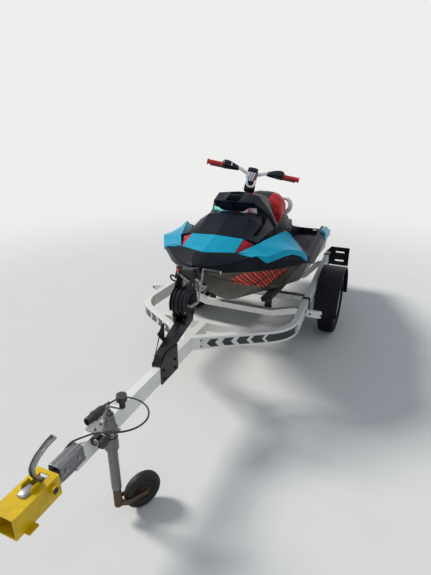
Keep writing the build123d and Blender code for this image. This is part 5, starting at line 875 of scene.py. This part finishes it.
# The grooves between the ribs are painted darker than the foam: painted shade in the grooves.
mat_colour_and_groove_shade = mat_foam.mix(mat_rib.rise(0.55, 0.75) * 0.5, tone(46, 51, 66), tone(26, 29, 38))
mat_foam.set(Base_Color=mat_foam.mix(mat_dust * 0.4, mat_colour_and_groove_shade, tone(112, 106, 94)),
             Roughness=mat_dust * 0.1 + 0.78)
mat_foam.bump(mat_rib.rise(0.75, 0.55) + mat_foam.noise(700.0, 2.0) * 0.2, 0.0012)
mat_y = np.concatenate([np.linspace(MAT_START, MAT_START + 10, 3), np.linspace(1350, 2260, 40),
                        np.linspace(MAT_END - 10, MAT_END, 3)])
row_y, *mat_edges = np.array(MAT_ROWS, float).T
mat_inner, mat_outer = (np.interp(mat_y, row_y, edge) for edge in mat_edges)
mat_floor = FOOT_FLOOR - FOOT_FALL * mat_y
mat_grid = np.stack([np.stack([edge + inset, mat_y, mat_floor + lift], -1) for edge, inset, lift in (
    (mat_inner, 0, MAT_LIFT), (mat_inner, 0, MAT_EDGE), (mat_inner, 4, MAT_TOP),
    (mat_outer, -4, MAT_TOP), (mat_outer, 0, MAT_EDGE), (mat_outer, 0, MAT_LIFT))], 1)
form("footwell_mats", both(on_craft(capped(mat_grid))), mat_foam)

# Deck fittings: four plain slanting film bars on each side of the seat pedestal, and a white mooring
# eye, moulded and screwed down, on each side of the stern deck.
FILM_AT, FILM_STEP, FILM_SLANT, FILM_UP = 1908, 19, 0.4, 446
EYE_X, EYE_Y, EYE_Z, EYE_HALF, EYE_DEPTH, EYE_RISE, EYE_RADIUS = 295, 2480, 366, 24, 20, 4, 0.0048
film_grids = []
for number in range(4):
    film = stations([(across, 0, 0, 4.5, 30) for across in (129.4, 130.5)], 0, 12)
    film[..., 1] += FILM_AT + FILM_STEP * number + FILM_SLANT * film[..., 2]
    film[..., 2] += FILM_UP
    film_grids.append(on_craft(film))
form("pedestal_film", both(*film_grids),
     moulded("pale_film", tone(176, 184, 194), 0.4, 0.00003, 400.0, 0.2, gloss=0.2))
eye_turn = np.linspace(0, math.pi, 24)
eye_arch = np.sin(eye_turn)
eye_line = np.stack([EYE_X + EYE_HALF * np.cos(eye_turn), EYE_Y - EYE_DEPTH * eye_arch,
                     EYE_Z + EYE_RISE * eye_arch], -1)
form("mooring_eyes", both(capped(swept(on_craft(eye_line), ring(EYE_RADIUS, 14)))),
     moulded("eye_white", tone(232, 234, 238), 0.4, 0.00005, 400.0, 0.1))

# Liner: a printed film strip under the cowl's lip, teal to starboard, then violet, red and white,
# that turns up into a small point at its port end. It is glued to the console's face.
LINER_TONES = ((0.3, tone(92, 214, 214)), (0.4, tone(62, 128, 190)), (0.5, tone(92, 78, 120)),
               (0.56, tone(150, 34, 42)), (0.66, tone(150, 30, 36)), (0.7, tone(222, 212, 222)),
               (0.82, tone(226, 216, 226)), (0.86, tone(140, 30, 44)))
STRIP_START, STRIP_END, STRIP_BACK, STRIP_BOW, STRIP_LOW, STRIP_HIGH = -176, 168, 646, 0.00205, 752, 766
liner_ink = Finish("liner_film", Coat_Weight=0.3, Coat_Roughness=0.15, Roughness=0.35)
film_x = liner_ink.axes()[0] + liner_ink.noise(30.0, 2.0) * 0.012
ramp = liner_ink.node("ShaderNodeValToRGB", {"Fac": (film_x + 0.17) / 0.34}, output="Color")
stops = ramp.socket.node.color_ramp.elements
stops[0].position, stops[0].color = 0.0, tone(96, 226, 214)
stops[1].position, stops[1].color = 0.999, tone(206, 204, 214)
for place, colour in LINER_TONES:
    stops.new(place).color = colour
liner_ink.set(Base_Color=ramp)
liner_ink.bump(liner_ink.noise(500.0, 1.0), 0.00004)
strip_x = np.linspace(STRIP_START, STRIP_END, 60)
strip_y = STRIP_BACK + STRIP_BOW * strip_x ** 2
strip_low = STRIP_LOW - 4 * smooth(-strip_x, 60, 150)
strip_high = STRIP_HIGH + 52 * smooth(strip_x, 60, 162) + 22 * smooth(-strip_x, 70, 160)
strip_grid = np.stack([
    np.stack([strip_x, strip_y + back - 3 - 8 * math.sin(math.pi * share),
              strip_low + (strip_high - strip_low) * share], -1)
    for share, back in ((0, 10), (0, 0), (0.25, 0), (0.5, 0), (0.75, 0), (1, 0), (1, 10))], 1)
form("liner_strip", [on_craft(capped(strip_grid))], liner_ink, node="liner")

# Teal and red mouldings: the nose panel, its red inserts, the fins and the stern corners. Each is a
# plastic panel with a fine grain, fixed on the craft's shell.
teal = moulded("teal_plastic", tone(0, 150, 182), 0.36, 0.00005, 500.0, 0.03, gloss=0.1)
red = moulded("red_plastic", tone(164, 20, 38), 0.35, 0.00005, 500.0, 0.05, gloss=0.15)
for node, finish, steep in (("nose_panel", teal, 12), ("nose_inserts", red, 12), ("side_fins", teal, 10),
                            ("rear_corners", teal, 10)):
    eased(node, 0.003, finish, steep)

# Seat bolster: foam under stapled vinyl, red at the sides with a black top that is sewn along both
# edges. Its flaps come down over the pedestal.
PAD_PRESSURE, PAD_FRAMES, PAD_VOXEL = 4.0, 20, 0.006
# distance to port, then eight corners of the bolster's section, each behind the bow and up
BOLSTER_ROWS = (
    (0, 1320, 700, 1312, 740, 1322, 796, 1395, 846, 1470, 850, 1495, 840, 1495, 760, 1495, 700),
    (80, 1318, 695, 1310, 736, 1320, 792, 1395, 845, 1468, 848, 1495, 836, 1495, 756, 1495, 695),
    (118, 1312, 668, 1304, 720, 1315, 780, 1393, 834, 1462, 838, 1494, 826, 1495, 746, 1492, 688),
    (146, 1302, 646, 1299, 704, 1311, 758, 1390, 814, 1456, 820, 1492, 806, 1494, 726, 1488, 676),
    (168, 1300, 578, 1297, 684, 1312, 738, 1388, 790, 1448, 798, 1488, 782, 1491, 704, 1478, 664),
    (186, 1303, 616, 1306, 688, 1326, 726, 1386, 764, 1442, 772, 1480, 756, 1484, 698, 1466, 662),
    (195, 1318, 668, 1324, 694, 1342, 706, 1388, 732, 1436, 738, 1468, 724, 1472, 692, 1452, 672),
)


def applied(piece):
    """A piece's mesh with its modifiers applied."""
    return bpy.data.meshes.new_from_object(piece.evaluated_get(bpy.context.evaluated_depsgraph_get()))


def inflated(name, mesh, cap):
    """A closed form remeshed in voxels, then blown up as cloth under pressure with no gravity; no
    point moves further than cap. The cloth is applied."""
    piece = linked(name, mesh)
    remesh = piece.modifiers.new("voxels", "REMESH")
    remesh.mode, remesh.voxel_size = "VOXEL", PAD_VOXEL
    soften = piece.modifiers.new("soften", "SMOOTH")
    soften.factor, soften.iterations = 0.5, 6
    result = applied(piece)
    piece.modifiers.clear()
    piece.data = result
    bpy.data.meshes.remove(mesh)
    points = points_of(result)
    cloth = piece.modifiers.new("foam", "CLOTH")
    cloth.settings.quality, cloth.settings.mass = 5, 0.3
    cloth.settings.use_pressure, cloth.settings.uniform_pressure_force = True, PAD_PRESSURE
    cloth.settings.effector_weights.gravity = 0
    cloth.point_cache.frame_start, cloth.point_cache.frame_end = 1, PAD_FRAMES
    for number in range(1, PAD_FRAMES + 1):
        bpy.context.scene.frame_set(number)
    blown = applied(piece)
    move = points_of(blown) - points
    length = np.linalg.norm(move, axis=1, keepdims=True)
    points = points + move * np.minimum(1, cap / np.maximum(length, 1e-9))
    piece.modifiers.clear()
    bpy.data.meshes.remove(blown)
    bpy.context.scene.frame_set(1)
    result.vertices.foreach_set("co", points.ravel())
    result.update()
    rounder = piece.modifiers.new("rounder", "SUBSURF")
    rounder.levels = rounder.render_levels = 1
    rounded = applied(piece)
    bpy.data.objects.remove(piece)
    bpy.data.meshes.remove(result)
    rounded.shade_smooth()
    return rounded


def pressed(mesh, depth_of):
    """Moves each vertex along its normal by depth_of(craft millimetres), in metres."""
    points, normals = points_of(mesh), np.empty(len(mesh.vertices) * 3)
    mesh.vertex_normals.foreach_get("vector", normals)
    points = points + normals.reshape(-1, 3) * depth_of(off_craft(points))[:, None]
    mesh.vertices.foreach_set("co", points.ravel())
    mesh.update()


def sections(rows):
    """From a table of a distance and corners: that distance and both numbers, at each corner."""
    rows = np.array(rows, float)
    return np.broadcast_to(rows[:, :1], rows[:, 1::2].shape), rows[:, 1::2], rows[:, 2::2]


def bolster_folds(place):
    """Seams along the edges of the top, which widens aft, and soft pulls that fan out below it."""
    across, behind, up = np.abs(place[:, 0]), place[:, 1], place[:, 2]
    top_edge = 58 + 0.19 * (behind - 1302)
    seam = np.exp(-((across - top_edge) / 3.2) ** 2) * (up > 700)
    side = smooth(across, 90, 150)
    fan = np.arctan2(up - 690, behind - 1180)
    pull = np.sin(fan * 46 + across * 0.03) * side * smooth(up, 600, 690) * smooth(-up, -830, -770)
    second = np.sin(behind * 0.09 + up * 0.05) * side * smooth(up, 640, 720)
    return -0.0030 * seam + 0.0011 * pull + 0.0006 * second


def vinyl(name, colour, rough=0.42):
    """Grained marine vinyl: leather-like cells, a soft sheen and a little grey dust in the grain."""
    made = Finish(name, Specular_IOR_Level=0.35)
    grain = made.cells(420.0)
    drift = made.noise(9.0, 4.0, 0.6).rise(0.3, 0.75)
    dust = made.noise(55.0, 4.0, 0.7).rise(0.5, 0.8)
    base = made.mix(grain.rise(0.55, 0.9) * 0.4 + drift * 0.25, colour, shade(colour, 0.7))
    made.base = made.mix(dust * 0.25, base, shade(colour, 0.85, 0.03))
    made.set(Base_Color=made.base, Roughness=drift * 0.12 + dust * 0.1 + (rough - 0.06))
    made.bump(grain, -0.00035)
    return made


bolster_half = np.stack(sections(BOLSTER_ROWS), -1)
bolster_grid = capped(np.concatenate([bolster_half[:0:-1] * (-1, 1, 1), bolster_half]))
bolster_mesh = inflated("bolster", shell("bolster_form", on_craft(bolster_grid)), 0.008)
pressed(bolster_mesh, bolster_folds)
bolster_vinyl = vinyl("bolster_vinyl", tone(206, 30, 36))
seam_x, seam_y, seam_z = bolster_vinyl.axes()
seam_off = abs(seam_x) - (seam_y * 0.19 - 0.0708)
stitch = (abs(abs(seam_off) - 0.0065) < 0.0009) * (seam_y % 0.006 < 0.004) * (seam_z > 1.05)
bolster_colour = bolster_vinyl.mix(seam_off.rise(0.0005, -0.0005), bolster_vinyl.base, tone(20, 20, 23))
bolster_vinyl.set(Base_Color=bolster_vinyl.mix(stitch, bolster_colour, tone(70, 66, 66)))
bolster_vinyl.bump(stitch, 0.0006)
bolster = put("bolster_padded", bolster_mesh, bolster_vinyl, node="seat_front")

# Seat cushion: foam under black vinyl, crowned and tapering aft, with piped seams along both top
# edges and sewn channels across it. It rests on the pedestal behind the bolster.
# distance behind the bow, then half the cushion's section from foot to middle, each to port and up
CUSHION_ROWS = (
    (1505, 148, 645, 152, 660, 149, 770, 106, 832, 50, 840, 0, 842),
    (1545, 148, 643, 152, 658, 146, 752, 104, 810, 50, 819, 0, 820),
    (1600, 146, 640, 150, 654, 140, 706, 100, 742, 50, 749, 0, 750),
    (1640, 144, 624, 147, 638, 133, 678, 98, 708, 50, 715, 0, 716),
    (1720, 132, 600, 136, 612, 119, 646, 90, 672, 45, 678, 0, 679),
    (1760, 126, 592, 130, 604, 114, 636, 86, 658, 42, 663, 0, 664),
    (1860, 112, 572, 115, 584, 98, 616, 74, 634, 36, 639, 0, 640),
    (1960, 96, 556, 99, 566, 80, 592, 58, 609, 28, 615, 0, 616),
    (2080, 80, 532, 83, 541, 62, 560, 44, 572, 22, 577, 0, 578),
    (2108, 72, 530, 75, 537, 56, 551, 40, 560, 20, 564, 0, 565),
)


def cushion_folds(place):
    """Piping seams along both top edges, and sewn channels across the sitting surface."""
    across, behind, up = np.abs(place[:, 0]), place[:, 1], place[:, 2]
    edge = 104 - 0.11 * (behind - 1505)
    seam = np.exp(-((across - edge) / 3.0) ** 2) * (up > 560)
    channel = np.exp(-(((behind - 1630) % 58 - 29) / 3.5) ** 2) * smooth(-across, -edge, 12 - edge)
    channel = channel * smooth(behind, 1640, 1660) * smooth(-behind, -2060, -2040)
    return -0.0026 * seam - 0.0022 * channel


cushion_back, cushion_side, cushion_up = sections(CUSHION_ROWS)
cushion_half = np.stack([cushion_side, cushion_back, cushion_up], -1)
cushion_grid = capped(np.concatenate([cushion_half, cushion_half[:, -2::-1] * (-1, 1, 1)], 1))
cushion_mesh = inflated("cushion", shell("cushion_form", on_craft(cushion_grid)), 0.006)
pressed(cushion_mesh, cushion_folds)
cushion = put("cushion_padded", cushion_mesh, vinyl("cushion_vinyl", tone(21, 21, 24), 0.46),
              node="seat_cushion")

# Seat trim: a white moulded crescent on each side behind the bolster, thick in the middle and thin
# at its ends, which plug into the seat base.
CRESCENT_Y = 1516
CRESCENT = ((138, 792), (168, 795), (194, 787), (211, 768), (220, 741), (216, 712), (200, 686), (177, 665),
            (150, 650), (138, 648))
CRESCENT_SCALE = (0.6, 0.72, 0.88, 1, 1.08, 1.08, 1, 0.88, 0.72, 0.6)
white_gloss = moulded("white_gloss", tone(236, 238, 242), 0.32, 0.00005, 500.0, 0.02, gloss=0.3)
crescent_line = on_craft([(x, CRESCENT_Y, z) for x, z in CRESCENT])
crescent_grid = capped(swept(crescent_line, ring(0.0165) * (1.2, 0.8), (0, 1, 0), CRESCENT_SCALE))
form("seat_crescents", both(crescent_grid), white_gloss, node="seat_trim")

# Handlebar: a bent white tube with ribbed red rubber grips. The steering's own frame is used from
# here on: x along the bar to port, z up the column, in millimetres.
STEER_AT, STEER_LEAN, STEER_TURN = (0.0, 1060.0, 1044.0), math.radians(26), math.radians(22)
BAR_HALF, BAR_DROP, BAR_RADIUS, GRIP_INNER, RIB_PITCH = 373.0, 26.0, 0.0138, 252.0, 7.0


def on_bar(points):
    """Millimetres of the steering's own frame, turned and leant, in metres of the row frame."""
    x, y, z = np.moveaxis(np.asarray(points, float), -1, 0)
    cos, sin = math.cos(STEER_TURN), math.sin(STEER_TURN)
    x, y = x * cos - y * sin, x * sin + y * cos
    cos, sin = math.cos(STEER_LEAN), math.sin(STEER_LEAN)
    y, z = y * cos + z * sin, z * cos - y * sin
    return on_craft(np.stack([x, y, z], -1) + STEER_AT)


def steered(name, grids, finish, node=None):
    """A new piece of closed forms in the steering's own frame, which turns with the bars."""
    return form(name, [on_bar(grid) for grid in grids], finish, "steering", node)


bar_x = np.linspace(-262, 262, 81)
bar_line = np.stack([bar_x, 0 * bar_x, -BAR_DROP * (1 - smooth(np.abs(bar_x), 42, 122))], -1)
form("bar_tube", [capped(swept(on_bar(bar_line), ring(BAR_RADIUS, 28)))], white_gloss,
     "steering", "handlebar")
reach = np.linspace(GRIP_INNER, BAR_HALF + 4, 74)
grip_radius = 17.6 + 1.1 * (np.abs((reach - GRIP_INNER) % RIB_PITCH / RIB_PITCH - 0.5) < 0.3)
grip_radius += 5.5 * smooth(reach, BAR_HALF - 8, BAR_HALF)
grip_radius += 6.0 * smooth(-reach, -GRIP_INNER - 12, -GRIP_INNER - 2)
grip_radius[-1] -= 3.0
grip_rows = np.stack([reach, 0 * reach, 0 * reach, grip_radius, grip_radius], -1)
steered("ribbed_grips", both(stations(grip_rows)),
        moulded("red_grip", tone(196, 34, 40), 0.55, 0.0002, 420.0, 0.15), "grips")

# Pods: black moulded switch housings clamped on the bar, with a cast lever in front of each grip and
# white buttons on the starboard one.
POD_ROWS = ((116, 4, -3, 15, 15), (118, 4, -3, 18, 17), (140, 0, -1, 25, 21), (170, -6, 2, 34, 27),
            (205, -9, 4, 41, 32), (232, -8, 4, 41, 33), (246, -5, 3, 35, 30), (250, -3, 2, 27, 26),
            (252, -3, 2, 24, 24))
LEVER_ROWS = ((176, -22, -24, 9, 6), (196, -38, -34, 10, 6), (228, -46, -40, 8.5, 5),
              (300, -50, -42, 7.5, 4.5), (338, -47, -42, 7, 4.5), (345, -46, -42, 5, 3.5))
pod_black = moulded("pod_black", tone(20, 25, 38), 0.34, 0.00008, 500.0, 0.12, gloss=0.25)
steered("pods_and_levers", both(stations(POD_ROWS, 0, 2.5), stations(LEVER_ROWS, 0, 2.6)), pod_black,
        "controls")
button_grids = [stations([(x, -34, z, 7, 3.5) for x in (-212, -210, -196, -194)], 0, 3) for z in (18, 4)]
button_grids += [stations([(x, -40, 2, 5, 14) for x in (-181, -178, -174, -172)], 0, 3)]
steered("pod_buttons", button_grids, white_gloss)

# Steering column: a black composite body with two clamps that hold the bar by four screws each, and
# a padded block between them.
COLUMN_ROWS = ((0, 8, -262, 15, 15), (0, 8, -176, 15, 15), (0, 6, -172, 40, 33), (0, 4, -160, 45, 37),
               (0, 2, -130, 43, 34), (0, 2, -92, 40, 30), (0, 2, -60, 43, 30), (0, 2, -40, 45, 31),
               (0, 2, -34, 40, 27))
CLAMP_AT, CLAMP_ROWS = 27, ((-15, 17, 18), (-13, 21, 22), (13, 21, 22), (15, 17, 18))
PAD_ROWS = ((-40, 16, 11), (-36, 23, 17), (-12, 27, 20), (12, 27, 20), (36, 23, 17), (40, 16, 11))
column_black = moulded("column_black", tone(17, 19, 26), 0.42, 0.00014, 600.0, 0.12, gloss=0.15)
steered("column_body", [stations(COLUMN_ROWS, 2, 3.2)], column_black, "steering_column")
clamp_grids = [stations([(CLAMP_AT + x, 0, 4 - BAR_DROP, wide, high) for x, wide, high in CLAMP_ROWS], 0, 3)]
clamp_grids += [stations([(CLAMP_AT, y, z, 4.2, 4.2) for z in (-6, 1.5)], 2, 2, 6) for y in (-12, 12)]
steered("bar_clamps", both(*clamp_grids), pod_black)
steered("bar_pad", [stations([(x, -6, -1, wide, high) for x, wide, high in PAD_ROWS], 0, 2.6)], pod_black)

# Column cover: a thin moulded cover over the column's front, printed white, pale blue and red in
# plain slanting bands, above a white hoop that the start cord's bracket hangs in.
COVER_WALL, COVER_TOP, COVER_LENGTH, COVER_FRONT, COVER_WIDTH, COVER_TAPER = 0.005, -30, 74, -28, 88, 14
HOOP_RADIUS = 33
COVER_BANDS = ((0.30, tone(120, 42, 56)), (0.38, tone(206, 210, 226)), (0.56, tone(96, 116, 160)),
               (0.64, tone(214, 216, 228)), (0.80, tone(138, 26, 36)))
cover_ink = Finish("cover_film", Coat_Weight=0.3, Coat_Roughness=0.15, Roughness=0.34)
cover_u, cover_v, _ = cover_ink.axes(cover_ink.node("ShaderNodeUVMap", None, {"uv_map": "film"}))
slant = cover_u + cover_v * 0.18
cover_colour = tone(214, 212, 224)
for start, colour in COVER_BANDS:
    cover_colour = cover_ink.mix(slant.rise(start, start + 0.01), cover_colour, colour)
cover_ink.set(Base_Color=cover_colour)
cover_ink.bump(cover_ink.noise(400.0, 1.0), 0.00005)
u_grid, v_grid = np.meshgrid(np.linspace(0, 1, 25), np.linspace(0, 1, 19))
bulge = 6 + 6 * np.sin(math.pi * u_grid) + 3 * np.sin(math.pi * v_grid)
cover_points = np.stack([(u_grid - 0.5) * (COVER_WIDTH - COVER_TAPER * v_grid), COVER_FRONT - bulge * 1.1,
                         COVER_TOP - COVER_LENGTH * v_grid], -1)
cover_mesh = filmed("column_cover", on_bar(cover_points), u_grid, v_grid)
cover_mesh.shade_smooth()
walled(put("column_cover", cover_mesh, cover_ink, "steering"), COVER_WALL)
hoop_turn = np.linspace(0, math.pi, 28)
hoop = np.stack([HOOP_RADIUS * np.cos(hoop_turn), np.full(28, -40.0), -112 - 40 * np.sin(hoop_turn)], -1)
hoop = np.concatenate([[(HOOP_RADIUS, -36, -92)], hoop, [(-HOOP_RADIUS, -36, -92)]])
hoop_up = on_bar([0, -1000, 0]) - on_bar([0, 0, 0])
form("column_hoop", [capped(swept(on_bar(hoop), ring(0.0085, 16) * (1, 0.8), hoop_up))], white_gloss,
     "steering")

# Jet drive: a cast pump and impeller, and a black steering nozzle that turns with the bars. The
# engine in its bay is one plain block of the same cast alloy.
cast_alloy = Finish("cast_alloy", Metallic=0.85)
pour = cast_alloy.noise(45.0, 4.0, 0.6)
cast_alloy.set(Base_Color=cast_alloy.mix(pour, tone(150, 151, 152), tone(104, 104, 103)),
               Roughness=pour * 0.2 + 0.34)
cast_alloy.bump(cast_alloy.noise(420.0, 3.0), 0.0002)
for node, width, finish in (("pump", 0.0012, cast_alloy), ("impeller", 0.001, cast_alloy),
                            ("nozzle", 0.0012, black_plastic), ("engine", 0.006, cast_alloy)):
    eased(node, width, finish)

# Studio: a pale seamless floor that runs out to a white background, a broad soft sun high on the
# starboard bow and an even sky. Camera, glossy and transmitted rays see the background's white.
FLOOR_HALF, FLOOR_FADE, BACKGROUND = 40.0, (2.6, 6.5), tone(238, 238, 237)
SKY_COLOUR, SKY_STRENGTH = (0.82, 0.90, 1.0, 1), 0.46
SUN_WIDTH, SUN_STRENGTH, SUN_TILT, SUN_SIDE = 16, 2.7, 50, -92


def unlit_rays(finish):
    """1 for camera, glossy and transmitted rays, 0 for those that light the object."""
    seen = finish.node("ShaderNodeLightPath", output="Is Camera Ray")
    paths = seen.socket.node.outputs
    for name in ("Is Glossy Ray", "Is Transmission Ray"):
        seen = seen.maths("MAXIMUM", Wire(finish, paths[name]))
    return seen


class Sky(Finish):
    """The world, with the same nodes as a finish."""

    def __init__(self, name):
        world = bpy.data.worlds.new(name)
        bpy.context.scene.world = world
        world.use_nodes = True
        self.tree = world.node_tree


floor_mesh = bpy.data.meshes.new("floor")
floor_corners = np.array([(-1, -1, 0), (1, -1, 0), (1, 1, 0), (-1, 1, 0)], float) * FLOOR_HALF
floor_mesh.from_pydata(floor_corners, [], [(0, 1, 2, 3)])
linked("floor", floor_mesh)
floor_paint = Finish("floor_paint", Roughness=0.9, Specular_IOR_Level=0.1)
floor_x, floor_y, _ = floor_paint.axes()
floor_reach = (floor_x * floor_x + floor_y * floor_y).maths("SQRT")
floor_tone = floor_paint.mix(floor_paint.noise(3.0, 4.0), tone(225, 225, 223), tone(220, 220, 218))
floor_paint.set(Base_Color=floor_tone)
floor_glow = floor_paint.node("ShaderNodeEmission", {"Color": BACKGROUND, "Strength": 1.0})
floor_blend = floor_paint.node("ShaderNodeMixShader", {
    0: floor_reach.rise(*FLOOR_FADE) * unlit_rays(floor_paint),
    1: Wire(floor_paint, floor_paint.shader.outputs[0]), 2: floor_glow})
floor_paint.feed(floor_paint.tree.nodes["Material Output"].inputs["Surface"], floor_blend)
floor_mesh.materials.append(floor_paint.material)
sky = Sky("studio")
sky_light = sky.node("ShaderNodeBackground", {"Color": SKY_COLOUR, "Strength": SKY_STRENGTH})
sky_seen = sky.node("ShaderNodeBackground", {"Color": BACKGROUND, "Strength": 1.0})
sky_blend = sky.node("ShaderNodeMixShader", {0: unlit_rays(sky), 1: sky_light, 2: sky_seen})
sky.feed(sky.tree.nodes["World Output"].inputs["Surface"], sky_blend)
sun_data = bpy.data.lights.new("sun", "SUN")
sun_data.angle, sun_data.energy = math.radians(SUN_WIDTH), SUN_STRENGTH
sun_data.color = (1.0, 0.97, 0.92)
linked("sun", sun_data).rotation_euler = (math.radians(SUN_TILT), 0, math.radians(SUN_SIDE))
bpy.context.scene.view_settings.view_transform = "Standard"
